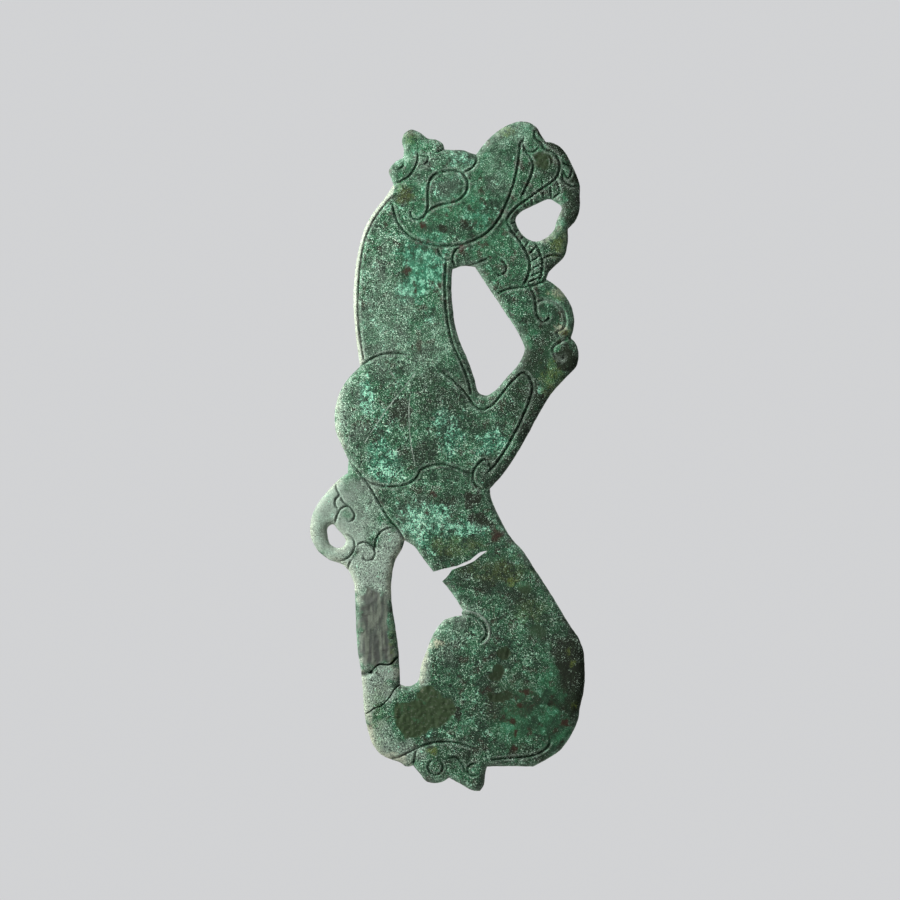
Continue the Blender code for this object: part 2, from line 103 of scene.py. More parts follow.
TAIL = [
    (349, 571.5), (343.5, 565.6), (328, 559), (318.5, 551.5), (311.6, 540), (310, 525), (315, 508.5),
    (328, 490.5), (338, 480), (347.7, 472.7),
]
TAIL_ROOT = [(347.7, 472.7), (348.3, 460)]
SHOULDER_EDGE = [
    (348.3, 460), (341.5, 445), (336.3, 433), (334.6, 419), (336, 404), (341.5, 388.5), (349.5, 377),
    (360, 366.5),
]
OUTER_EDGE = [NECK_BACK, EAR_LOBE, EAR, BROW, CREST, SNOUT, NOSE_CURL, PAW, DEW_CURL, BELLY,
              RUMP_BASE, TOE_SIDE, TOES, HEEL, HIND_LEG, TAIL, TAIL_ROOT, SHOULDER_EDGE]

# Openings in the casting
THROAT_GAP = [
    [(452.5, 269), (451.5, 287), (452.6, 306), (455.5, 327), (461, 344), (469, 362.5), (474.5, 379),
     (480, 393.5), (486.5, 395.3), (494.5, 391), (505, 379.5), (521, 360), (524.8, 349.5), (521, 338),
     (506, 313.5), (492, 292.5), (475, 266.8)],
    [(475, 266.8), (464, 265.8), (452.5, 269)],
]
MOUTH = [[(516, 218), (520.5, 212), (529, 207.2), (540, 202.2), (549, 198.7), (556, 201.8),
          (562, 207.5), (559.5, 214.5), (556.6, 221), (554.5, 229), (548.5, 236),
          (535, 241.4), (525.5, 237), (519, 229.5), (516, 218)]]
TAIL_EYE = [[(328, 527), (332.5, 524.5), (337.5, 529.3), (343.3, 536), (345.6, 542),
             (341.5, 547.5), (335.5, 547.8), (330, 544), (327.4, 536), (328, 527)]]
HOCK_GAP = [
    [(404.5, 540.5), (402.5, 547.5), (395, 561), (392.2, 574), (391.2, 598), (394.5, 622), (397.7, 645),
     (399.3, 665), (400, 684.7)],
    [(400, 684.7), (405, 686.2), (412, 685.8), (417.3, 682), (421, 666), (427, 650), (434.5, 632.5),
     (444, 620.5), (453, 617), (462.4, 616)],
    [(462.4, 616), (461.6, 613), (462.8, 610.3)],
    [(462.8, 610.3), (452, 593.5), (442.3, 581.5)],
]
HOCK_GAP_BODY_SIDE = [[(433.4, 571.8), (422, 557), (413.5, 546), (404.5, 540.5)]]

# The broken edges of the waist crack, which opens into the gap at the hock
WAIST_CRACK = [
    [(442.3, 581.5), (447, 576.8), (451.8, 570)],
    [(451.8, 570), (459, 567.4), (466, 564.9), (473, 561.7), (479, 557.2), (487.6, 550.8)],
    [(487.6, 550.8), (481, 552), (475.5, 555.6), (470.5, 559.8), (463.5, 562.9), (457, 566)],
    [(457, 566), (446, 568.2), (433.4, 571.8)],
]

# A thin raised rim lies outside the line round the knee
KNEE_RIM = [
    (463, 610.8), (471, 611.9), (480.5, 615.6), (487.5, 623.5), (489.8, 632), (487.8, 639.8),
    (482, 644.5),
]

# Long chased lines
CHASED_LINES = [
    # border down the back of the neck, and the one up its front
    [(397, 195.5), (391.5, 198), (385, 205), (378, 214), (371.5, 225), (366.3, 237), (361.8, 257),
     (358.8, 286), (358.4, 314), (361, 341), (364.7, 362.5)],
    [(446.5, 261), (445.2, 277), (445.3, 297), (447.5, 320), (453, 344), (460.5, 361), (466.5, 375),
     (471.5, 395.5)],
    # cheek, from the nostril round under the jaw and up behind the ear
    [(524, 138.5), (521, 143), (519.6, 153), (517.7, 167), (513.5, 185), (506.5, 203.5), (498, 220.5),
     (487.5, 232.5), (474, 240.5), (447, 246), (426, 243.3), (409, 235.5), (397.5, 221.5), (392.6, 204)],
    # tear-shaped eye with its lower curl
    [(440, 172.5), (433, 176.3), (429.3, 184), (428, 196), (428.2, 206), (425.2, 215), (419, 219.3),
     (413, 218), (410.9, 213), (413.3, 210.5)],
    [(440, 172.5), (452, 170.7), (462, 173.3), (467.6, 181.5), (466.5, 192), (459, 200.3), (447, 203.6),
     (437, 206.2), (428.5, 211.5), (421.5, 221.5)],
    # jaw, from nostril to lip
    [(534, 165), (531.5, 175.5), (526.8, 186.5), (521, 197.8)],
    # gums, with the front of the snout
    [(506.5, 221), (509.5, 215), (516, 207.7), (526, 200.3), (538, 191.7), (550.5, 183), (557.3, 176.7),
     (559.8, 168.5), (558.2, 159), (552, 151.8), (544.8, 149.3), (541.5, 143.3), (535.3, 137.5),
     (536, 128)],
    [(506.5, 221), (512, 231.5), (519.5, 240.8), (527, 253.5), (530.2, 266), (527.7, 277), (523, 286.5)],
    [(534.5, 242), (539, 250.5), (542.2, 260), (542.3, 270.5), (539, 281.5)],
    # curl of the chin
    [(498.5, 259), (503.8, 262), (506.3, 267.5), (504.8, 272.8), (500.3, 275.5), (496.5, 272.8)],
    # jaw against the raised paw
    [(496.2, 295), (503.9, 290.8), (512.5, 288.2), (528, 286.5), (537, 284.5), (547, 280)],
    # claw curl of the paw
    [(529, 287.5), (534, 294.3), (535.8, 303), (536.5, 312), (539, 318.7), (543.8, 321.8), (548, 319.5),
     (549.8, 314.8)],
    # shoulder over the neck
    [(360, 366.5), (369.5, 360), (380, 355.2), (392, 353.2), (411, 355)],
    [(440.5, 370.5), (449, 376.7), (459, 385.8), (467.5, 395), (474, 405), (482, 409.5), (491.5, 406),
     (502, 394), (513, 381), (524.8, 372.8), (530.3, 379), (532.5, 388), (530, 399), (522.5, 418),
     (514, 435), (504, 452.3), (496, 463.8), (485.8, 474.8)],
    # shoulder over the belly
    [(362.5, 476.3), (371.3, 483), (383.5, 486.3), (397.5, 486.5), (409.5, 483.2), (416.7, 477.5),
     (420.5, 470.8), (431, 465.9), (444, 464.7), (456, 467.7), (472.3, 475.6)],
    # knob of the elbow
    [(489.3, 467.5), (488.8, 461.8), (484.4, 459.8), (478.7, 463.6), (474, 471), (473, 479),
     (476.7, 486), (484.3, 490)],
    # far hind leg behind the belly
    [(348.8, 460.5), (362.5, 476.3), (372, 490), (380.5, 504.7), (389.5, 519.3), (400, 531.8),
     (404.4, 540.3)],
    # knee, rump and sole
    [(463, 613.6), (470, 615), (478.5, 618.7), (485, 625.7), (487, 632), (485, 638.3), (480, 642)],
    [(550.5, 740), (548.5, 746), (541, 752), (530, 756.2), (510, 758), (490, 760)],
    [(390, 758.8), (399, 756.8), (408, 752.8), (418, 748), (429, 743.6), (441, 742.2), (453, 742.4),
     (464, 745), (474, 748.5)],
    [(416.5, 749), (415, 757), (413.3, 765)],
]

# Lines of the raised paw with less painted shade and a painted highlight on their walls: round the claw
# curl, and the dew claw
PAW_CURLS = [
    [(536, 306), (540, 301.3), (547, 300.2), (555.5, 302.8), (562, 308.7), (565.2, 317), (565.5, 324.5),
     (562, 330), (557.2, 332), (559.5, 337.2), (570, 338)],
    [(569.5, 338.8), (559, 342.9), (553, 348.5), (554.2, 354.5), (559, 358.6), (563.3, 359.5),
     (564.2, 355.5)],
]

# Fine lines: ear, brow, nostril, nose, chin, curls of tail and toes
FINE_LINES = [
    [(417.8, 151.5), (418, 159), (415.3, 167.5), (409.5, 175.8), (394, 184)],
    [(418.5, 153.5), (422.5, 156), (428, 156.3), (427.3, 162), (422.5, 165.3)],
    [(403.3, 161.5), (403, 166.5), (398.5, 169)],
    [(435, 153), (440, 151.2), (444.4, 149.2)],
    [(475.6, 154.6), (476.8, 161), (473, 167), (463.5, 173)],
    [(465.5, 155), (470.3, 158), (471.5, 162.5)],
    [(524, 139), (523.5, 146), (527.5, 151.3), (534, 151.5), (538.8, 147)],
    [(523.5, 151), (529, 155.5), (534, 165)],
    [(550, 156), (551.8, 161), (551.2, 166)],
    [(561, 162), (572.5, 167.5)],
    [(562, 168), (568.6, 178), (572.9, 167)],
    [(561.8, 172), (565.5, 182.5), (571.5, 186), (579, 185.8)],
    [(541.8, 260), (550, 255.6), (558.5, 255.5), (564, 256.8)],
    [(455.5, 267.4), (452.8, 258), (456, 250), (463, 246)],
    [(456, 267.4), (466, 266), (476, 263.4), (489, 257.8)],
    [(438.3, 247.5), (440, 254.5), (444, 258.6), (452, 259.3)],
    [(336.4, 482.8), (336.6, 488.5), (339.2, 495.5), (335.8, 499.3), (335.4, 505), (339.5, 509.8)],
    [(340.8, 496), (342.5, 500.5), (352, 509.5), (354.8, 515), (352.8, 520.3), (349, 521.5),
     (347.2, 518.8)],
    [(335.2, 523.5), (337.4, 515.5), (341, 509), (346, 506.5), (351, 508.2)],
    [(344.2, 535), (350, 536), (354.2, 541), (354.5, 548.5), (350, 556.2), (344.5, 560.2), (337.5, 560.5)],
    [(351.8, 560.3), (349, 565.5), (348.8, 571)],
    [(357, 546), (361.4, 542.8), (367, 542.7), (373, 546.7), (375.3, 553), (373, 559), (368.5, 560.6),
     (364, 558.6), (363.8, 555)],
    [(375.5, 551), (376, 540.5), (380, 533), (387, 528.6), (394, 528)],
    [(433, 759.5), (429, 763.7), (428.5, 769), (431.8, 773.7), (437.5, 774.5), (442, 770.7),
     (442.7, 765), (440, 761)],
    [(449, 758.5), (456, 757), (461, 762.5), (465.5, 771.5)],
    [(479, 765.5), (473, 763.7), (468.2, 767.5), (468.2, 772.7), (472.5, 776), (477.5, 775)],
]

# Teeth: each is one short straight stroke, from the gum to the lip
UPPER_TEETH = [
    [(516.9, 208.8), (519.4, 213.3)], [(524.6, 202), (525.6, 209.3)], [(531.6, 196.5), (533.2, 205.6)],
    [(542.6, 180), (542.8, 186)], [(542.8, 189.3), (543.8, 200.8)], [(550.5, 184.3), (551.5, 199)],
    [(555.8, 179), (560.6, 192.7)], [(560, 192.7), (552.6, 199)], [(560.5, 177), (564.6, 184.5)],
]
LOWER_TEETH = [
    [(511, 224.2), (516.5, 221)], [(515.4, 234), (519.2, 229.5)], [(520.5, 241.2), (524, 235)],
    [(525, 248.2), (529.6, 239.5)], [(529, 254.5), (536.5, 246.5)], [(530.5, 262), (540.8, 255.3)],
    [(531, 270), (541.8, 263.5)], [(530, 276.6), (541.5, 271.5)], [(528, 282.5), (540, 277.3)],
]

# Old breaks across the hind leg, with the chip at the start of the upper one
LEG_CRACKS = [
    [(370.5, 672.3), (376, 666.6), (379.5, 664.4), (386, 665), (391, 664), (395, 659.6), (399.6, 656)],
    [(363.6, 715.3), (370, 711.6), (374.5, 708), (380, 706.6), (385, 702.6), (390, 696.6), (394, 690.2),
     (400.5, 684.6)],
]
LEG_CHIP = [[(359.5, 673.8), (366, 674), (370.5, 672.3)]]

# Forms that stand a little proud: middle and half-widths on the sheet
SWELLS = [((404, 418), (72, 66)), ((505, 688), (84, 80)), ((450, 203), (60, 44))]

SCRATCHES = [
    [(420, 367), (405, 386), (390, 405), (374, 428), (360, 450)],
    [(411, 390), (409, 405), (409, 420), (411, 445), (416, 467)],
    [(387, 367), (397, 380)],
    [(352, 424), (349, 440), (348, 452)],
]


class Stain(Enum):
    """What can cover a patch of the surface. The value names the mesh attribute of its mask."""

    OLIVE = "olive_crust"
    DARK = "dark_skin"
    # Umber is a dark stain in some places and painted shade in others: on the snout's slope and down the
    # right-hand sides that turn from the light
    UMBER_AND_SHADE = "umber_stain_and_painted_shade"
    PALE = "pale_bloom"
    CUPRITE = "red_cuprite"
    TURQUOISE = "turquoise"
    OCHRE = "ochre_stain"
    SMOOTH = "smooth_skin"
    CREAM = "cream_bloom"


class Spot(NamedTuple):
    """A round stain: its middle and half-widths on the sheet, and how strong it is."""

    x: float
    y: float
    half_x: float
    half_y: float
    strength: float = 1.0


class Patch(NamedTuple):
    """A stain with a drawn rim: how far the rim strays from the drawn one, and how soft it is."""

    rim: Run
    ragged: float
    soft: float


# Small dark crusts on the haunch
CRUST_SPOTS = [
    [(497, 651), (501, 647.5), (508, 648), (511, 652), (508.5, 656), (506, 660), (501, 658.5),
     (497.5, 655.5), (497, 651)],
    [(492, 668), (496, 664.5), (502, 666), (504, 671), (502, 677), (497, 681), (491, 679.5),
     (488.5, 675.5), (492.5, 672), (492, 668)],
    [(487.5, 692), (496, 694), (505, 691.5), (513, 693.5), (511.5, 698), (504, 701), (495.5, 702),
     (490, 699), (487.5, 692)],
]

EDGED_PATCHES = {
    Stain.OLIVE: [
        *(Patch(rim, 1.6, 0.8) for rim in CRUST_SPOTS),
        Patch([(395, 707), (400, 703), (409, 702), (416, 697), (418, 691), (424, 686), (436, 689),
               (444, 696), (453, 702), (456, 711), (450, 720), (440, 727), (430, 729), (424, 735),
               (415, 737), (405, 739), (401, 732), (396, 723), (394, 712), (395, 707)], 3.0, 0.8),
        Patch([(533, 158), (537, 152), (545, 151), (551, 156), (551, 164), (545, 169), (538, 168),
               (533, 163), (533, 158)], 2.0, 2.0),
    ],
    Stain.DARK: [
        Patch([(372, 588), (381, 594), (387, 606), (388, 625), (391, 645), (392, 660), (380, 662),
               (366, 664), (359, 656), (360, 630), (361, 606), (366, 594), (372, 588)], 7.0, 3.0),
    ],
    Stain.UMBER_AND_SHADE: [
        *(Patch(rim, 1.6, 0.8) for rim in CRUST_SPOTS),
        # Painted shade on the snout's slope, which turns away from the light
        Patch([(537, 127), (541.5, 135), (546, 141.5), (553, 142.5), (560, 146.3), (566, 153),
               (560, 156), (552, 150), (545, 142.5), (540, 136), (536, 130), (537, 127)], 1.0, 1.0),
        # Dark stain on the right haunch, with painted shade along its rounded right edge
        Patch([(556, 640), (582, 644), (588, 668), (588, 690), (582, 706), (573, 716), (566, 695),
               (560, 677), (554, 658), (556, 640)], 7.0, 5.0),
    ],
    Stain.PALE: [
        Patch([(394, 184), (385, 197), (374, 210), (366, 223), (357, 250), (353, 281), (352, 312),
               (354, 332), (358, 366), (364, 362), (360.5, 341), (357.5, 314), (358.3, 286),
               (361, 257), (365.5, 237), (371, 225), (378, 214), (385, 205), (391, 198),
               (394, 184)], 2.5, 1.5),
    ],
}

# The numbers of each Spot; the strength is left out where it is 1
SPOTS = {
    Stain.OLIVE: [(538, 632, 8, 7, 0.5), (525, 588, 6, 5, 0.7)],
    # Umber spots down the right-hand side of the snout, paw, foreleg and haunch are painted shade on sides
    # turned from the light; the others are dark stains
    Stain.UMBER_AND_SHADE: [
        (401, 412, 12, 13, 0.7), (473, 500, 10, 8, 0.9), (481, 520, 11, 7, 0.9), (448, 500, 12, 6, 0.5),
        (443, 229, 4, 4), (465, 226, 9, 5, 0.6), (403, 194, 9, 10, 0.6), (458, 714, 3, 8),
        (452, 552, 30, 12, 0.35), (482, 574, 42, 16, 0.5), (528, 600, 18, 18, 0.45), (566, 357, 13, 15),
        (545, 635, 20, 18, 0.35), (415, 455, 22, 12, 0.45), (440, 395, 34, 26, 0.45),
        (535, 400, 26, 60, 0.55), (460, 755, 40, 10, 0.4), (530, 755, 30, 9, 0.5),
        (572, 200, 12, 36, 0.6), (545, 170, 26, 26, 0.4), (575, 660, 20, 60, 0.6),
        (495, 470, 16, 20, 0.4), (541, 159, 7, 6, 0.4), (553, 255, 10, 20, 0.5), (575, 178, 4, 6),
        (550, 703, 2.5, 2.5),
    ],
    Stain.PALE: [
        (331, 522, 32, 56, 0.8), (380, 690, 18, 14, 0.7), (392, 545, 14, 20, 0.7),
        (361, 508, 16, 38, 0.55), (370, 572, 24, 32), (376, 742, 18, 20, 0.7), (366, 690, 9, 28, 0.8),
        (386, 672, 12, 10, 0.8), (424, 661, 8, 26, 0.6), (339, 420, 8, 42, 0.5),
        (354, 420, 20, 50, 0.3), (386, 300, 30, 66, 0.32), (456, 163, 22, 12, 0.25),
        (448, 188, 16, 14, 0.25), (420, 160, 16, 18, 0.3), (495, 172, 18, 26, 0.25),
        (512, 136, 20, 12, 0.35), (428, 348, 26, 30, 0.3), (402, 752, 22, 12, 0.6),
        (468, 610, 12, 8, 0.3), (420, 520, 26, 22, 0.25), (448, 640, 20, 24, 0.3),
        # These two pale spots, on the mouth's right and lower rim, are a painted highlight
        (558, 212, 8, 14, 0.4), (546, 239, 10, 6, 0.4),
    ],
    Stain.CUPRITE: [
        (496, 536, 6, 6), (407, 271, 4, 4), (416, 292, 2, 3), (440, 285, 3, 3), (419, 345, 3, 7, 0.7),
        (461, 248, 3, 3), (422, 225, 3, 3), (520, 705, 3, 3), (526, 692, 6, 3), (513, 721, 3, 4),
        (516, 733, 2, 3), (565, 722, 5, 4), (575, 733, 4, 3), (494, 718, 3, 3, 0.7), (514, 748, 3, 3),
        (434, 494, 3, 3), (427, 513, 2, 2), (564, 333, 5, 3), (510, 700, 30, 26, 0.35),
    ],
    Stain.TURQUOISE: [
        (422, 272, 26, 30), (366, 398, 8, 15), (386, 460, 16, 22), (446, 431, 15, 20),
        (491, 444, 14, 12), (422, 518, 24, 24), (440, 530, 40, 10), (472, 530, 13, 7), (429, 735, 4, 6),
        (540, 391, 3, 7), (542, 712, 26, 38, 0.15), (480, 215, 18, 14, 0.45), (448, 188, 16, 14, 0.5),
        (430, 240, 18, 8, 0.6), (462, 158, 16, 7, 0.8), (385, 420, 12, 14, 0.5),
    ],
    Stain.OCHRE: [
        (568, 652, 3, 3), (572, 663, 3, 3), (574, 705, 3, 3), (513, 582, 6, 5), (438, 643, 5, 3),
        (552, 380, 9, 16, 0.7), (560, 293, 11, 6, 0.7), (560, 245, 9, 16, 0.6), (409, 138, 7, 8, 0.5),
        (505, 131, 8, 5, 0.7), (564, 331, 7, 5), (433, 752, 5, 4), (370, 745, 5, 12, 0.6),
        (452, 546, 24, 10, 0.45), (500, 572, 30, 11, 0.35), (403, 194, 8, 9, 0.4),
        (530, 610, 14, 12, 0.3), (375, 720, 12, 36, 0.25), (392, 640, 3, 24, 0.5),
    ],
    Stain.SMOOTH: [
        (424, 270, 26, 28, 0.75), (462, 214, 46, 32, 0.75), (505, 262, 28, 30, 0.4),
        (331, 522, 28, 52, 0.9), (375, 632, 22, 40, 0.5), (545, 715, 36, 42, 0.9),
        (568, 212, 14, 56, 0.6), (548, 350, 32, 60, 0.55), (405, 160, 22, 34, 0.5),
        (536, 160, 22, 30, 0.5), (482, 180, 40, 40, 0.5),
    ],
    Stain.CREAM: [
        (438, 643, 5, 3), (431, 646, 3, 2, 0.6), (370, 738, 4, 18, 0.6), (390, 757, 16, 4, 0.5),
        # The cream spot at 553, 213 is a painted highlight on the mouth's right rim
        (422, 660, 4, 22, 0.4), (562, 328, 6, 3, 0.7), (558, 293, 9, 4, 0.5), (553, 213, 3, 6, 0.6),
    ],
}
SOFT_STAINS = (Stain.PALE, Stain.TURQUOISE, Stain.UMBER_AND_SHADE, Stain.OCHRE, Stain.CUPRITE, Stain.SMOOTH,
               Stain.CREAM)


def smooth(run: Run, chord: float) -> np.ndarray:
    """Stations of a smooth curve through a run's points.

    Between two points the curve is the cubic whose slopes at both ends are the mean of the
    chords on either side, weighed by how near each is.

    Args:
        run: the points, on the sheet.
        chord: the longest step between stations.

    Returns:
        The stations, one row each.
    """
    points = np.array(run, dtype=float)
    closed = len(run) > 3 and run[0] == run[-1]
    chords = np.diff(points, axis=0)
    lengths = np.linalg.norm(chords, axis=1)
    slopes = chords / lengths[:, None]
    if len(run) == 2:
        tangents = np.vstack((slopes, slopes))
    else:
        before, after = lengths[:-1, None], lengths[1:, None]
        inner = (slopes[1:] * before + slopes[:-1] * after) / (before + after)
        first, last = 1.5 * slopes[0] - 0.5 * inner[0], 1.5 * slopes[-1] - 0.5 * inner[-1]
        if closed:
            first = (slopes[0] * lengths[-1] + slopes[-1] * lengths[0]) / (lengths[0] + lengths[-1])
            last = first
        tangents = np.vstack((first, inner, last))
    stations = [points[:1]]
    for index, length in enumerate(lengths):
        count = max(1, math.ceil(length / chord))
        t = (np.arange(1, count + 1) / count)[:, None]
        stations.append((2 * t**3 - 3 * t**2 + 1) * points[index]
                        + (t**3 - 2 * t**2 + t) * length * tangents[index]
                        + (3 * t**2 - 2 * t**3) * points[index + 1]
                        + (t**3 - t**2) * length * tangents[index + 1])
    return np.vstack(stations)


def join(runs: Sequence[Run], chord: float) -> np.ndarray:
    """One path from runs that follow each other, without the doubled corners."""
    return np.vstack([smooth(run, chord)[:-1] for run in runs] + [np.array(runs[-1][-1:], dtype=float)])


def row_beside(path: np.ndarray, distance: float | np.ndarray) -> np.ndarray:
    """The path moved sideways by a distance, on the side its normal points to."""
    ahead = np.gradient(path, axis=0)
    ahead /= np.linalg.norm(ahead, axis=1)[:, None]
    return path + np.reshape(distance, (-1, 1)) * np.column_stack((-ahead[:, 1], ahead[:, 0]))


def ease(values: np.ndarray, low: float, high: float) -> np.ndarray:
    """Rises smoothly from 0 at low to 1 at high; low may be the larger of the two."""
    share = np.clip((values - low) / (high - low), 0.0, 1.0)
    return share * share * (3.0 - 2.0 * share)


@dataclass
class Segments:
    """Straight pieces of paths on the sheet, with a value at both ends of each."""

    starts: np.ndarray
    ends: np.ndarray
    values: np.ndarray

    @classmethod
    def of(cls, paths: Sequence[np.ndarray], taper: float = 0.0, tip: float = 1.0) -> "Segments":
        """Segments of the paths; the value runs from tip at a path's ends to 1 over the taper."""
        values = []
        for path in paths:
            steps = np.linalg.norm(np.diff(path, axis=0), axis=1)
            walked = np.concatenate(([0.0], np.cumsum(steps)))
            share = np.ones(len(walked))
            if taper > 0.0:
                share = np.clip(np.minimum(walked, walked[-1] - walked) / taper, tip, 1.0)
            values.append(np.column_stack((share[:-1], share[1:])))
        return cls(np.vstack([path[:-1] for path in paths]), np.vstack([path[1:] for path in paths]),
                   np.vstack(values))

    def _bands(self, points: np.ndarray, reach: float) -> tuple[np.ndarray, np.ndarray, list[slice]]:
        """The points' order by y, the points in that order, and the stretch in reach of each segment."""
        order = np.argsort(points[:, 1], kind="stable")
        ranked = points[order]
        lows = np.searchsorted(ranked[:, 1], np.minimum(self.starts[:, 1], self.ends[:, 1]) - reach)
        highs = np.searchsorted(ranked[:, 1], np.maximum(self.starts[:, 1], self.ends[:, 1]) + reach)
        return order, ranked, [slice(low, high) for low, high in zip(lows, highs)]

    def measure(self, points: np.ndarray, reach: float) -> tuple[np.ndarray, np.ndarray]:
        """Distance from each point to the nearest segment, and the value there.

        Args:
            points: places on the sheet.
            reach: the greatest distance that matters; it stands for anything further.

        Returns:
            The distances and the values, one for each point.
        """
        order, ranked, bands = self._bands(points, reach)
        gaps = np.full(len(points), reach)
        values = np.ones(len(points))
        for start, end, value, band in zip(self.starts, self.ends, self.values, bands):
            along = end - start
            offset = ranked[band] - start
            share = np.clip(offset @ along / max(along @ along, 1e-12), 0.0, 1.0)
            away = np.linalg.norm(offset - share[:, None] * along, axis=1)
            closer = away < gaps[band]
            gaps[band][closer] = away[closer]
            values[band][closer] = (value[0] + (value[1] - value[0]) * share)[closer]
        back = np.empty_like(order)
        back[order] = np.arange(len(order))
        return gaps[back], values[back]

    def around(self, points: np.ndarray) -> np.ndarray:
        """True for each point that the loops go round: an odd number of segments lies to its right."""
        order, ranked, bands = self._bands(points, 0.0)
        odd = np.zeros(len(points), dtype=bool)
        for start, end, band in zip(self.starts, self.ends, bands):
            if band.start < band.stop:
                share = (ranked[band, 1] - start[1]) / (end[1] - start[1])
                odd[band] ^= ranked[band, 0] < start[0] + share * (end[0] - start[0])
        result = np.empty_like(odd)
        result[order] = odd
        return result


class Grain:
    """Smooth random relief: gradient noise on a lattice, the same on every run."""

    LATTICE = 256
    TURN = np.array([[0.8, -0.6], [0.6, 0.8]])

    def __init__(self, seed: int) -> None:
        """Draw the lattice's slopes."""
        angles = np.random.default_rng(seed).uniform(0.0, 2.0 * math.pi, (self.LATTICE, self.LATTICE))
        self.slopes = np.stack((np.cos(angles), np.sin(angles)), axis=-1)

    def at(self, points: np.ndarray, size: float, octaves: int = 1) -> np.ndarray:
        """Sum of octaves, each half the size and height of the one before, about -0.7 to 0.7.

        Args:
            points: places on the sheet.
            size: width of one lattice cell of the first octave.
            octaves: how many octaves are summed.

        Returns:
            One height for each point.
        """
        total = np.zeros(len(points))
        turned = points / size
        for octave in range(octaves):
            turned = turned @ self.TURN
            cell = turned * 2.0**octave + 31.7 * octave
            base = np.floor(cell).astype(int)
            rest = cell - base
            fade = rest**3 * (rest * (rest * 6.0 - 15.0) + 10.0)
            rows = []
            for down in (0, 1):
                left, right = (self._slope_at(base, rest, across, down) for across in (0, 1))
                rows.append(left + fade[:, 0] * (right - left))
            total += (rows[0] + fade[:, 1] * (rows[1] - rows[0])) / 2.0**octave
        return total

    def _slope_at(self, base: np.ndarray, rest: np.ndarray, across: int, down: int) -> np.ndarray:
        """Height that one corner of the cell gives each point."""
        slope = self.slopes[(base[:, 0] + across) % self.LATTICE, (base[:, 1] + down) % self.LATTICE]
        return (slope * (rest - (across, down))).sum(axis=1)


@dataclass(frozen=True)
class Groove:
    """One sort of line: its strokes, its width, depth and lip in metres, how much painted shade darkens
    its floor, and how pale its walls are made: a painted highlight on the knee rim and paw curls, wear
    along the scratches.

    The profile's own sizes are in half-widths of the line.
    """

    runs: Sequence[Run]
    width: float
    depth: float
    taper: float = 0.0
    tip: float = 0.3
    lip: float = 0.0
    # How strongly painted shade darkens the line's floor
    painted_shade: float = 1.0
    # How pale the walls are made: a painted highlight on the knee rim and paw curls, wear along the
    # scratches
    pale: float = 0.0

    REACH = 3.0
    LIP_PLACE = 1.45
    LIP_SPREAD = 0.4
    # Width of the floor that takes the painted shade, in half-widths
    PAINTED_SHADE_WIDTH = 0.5


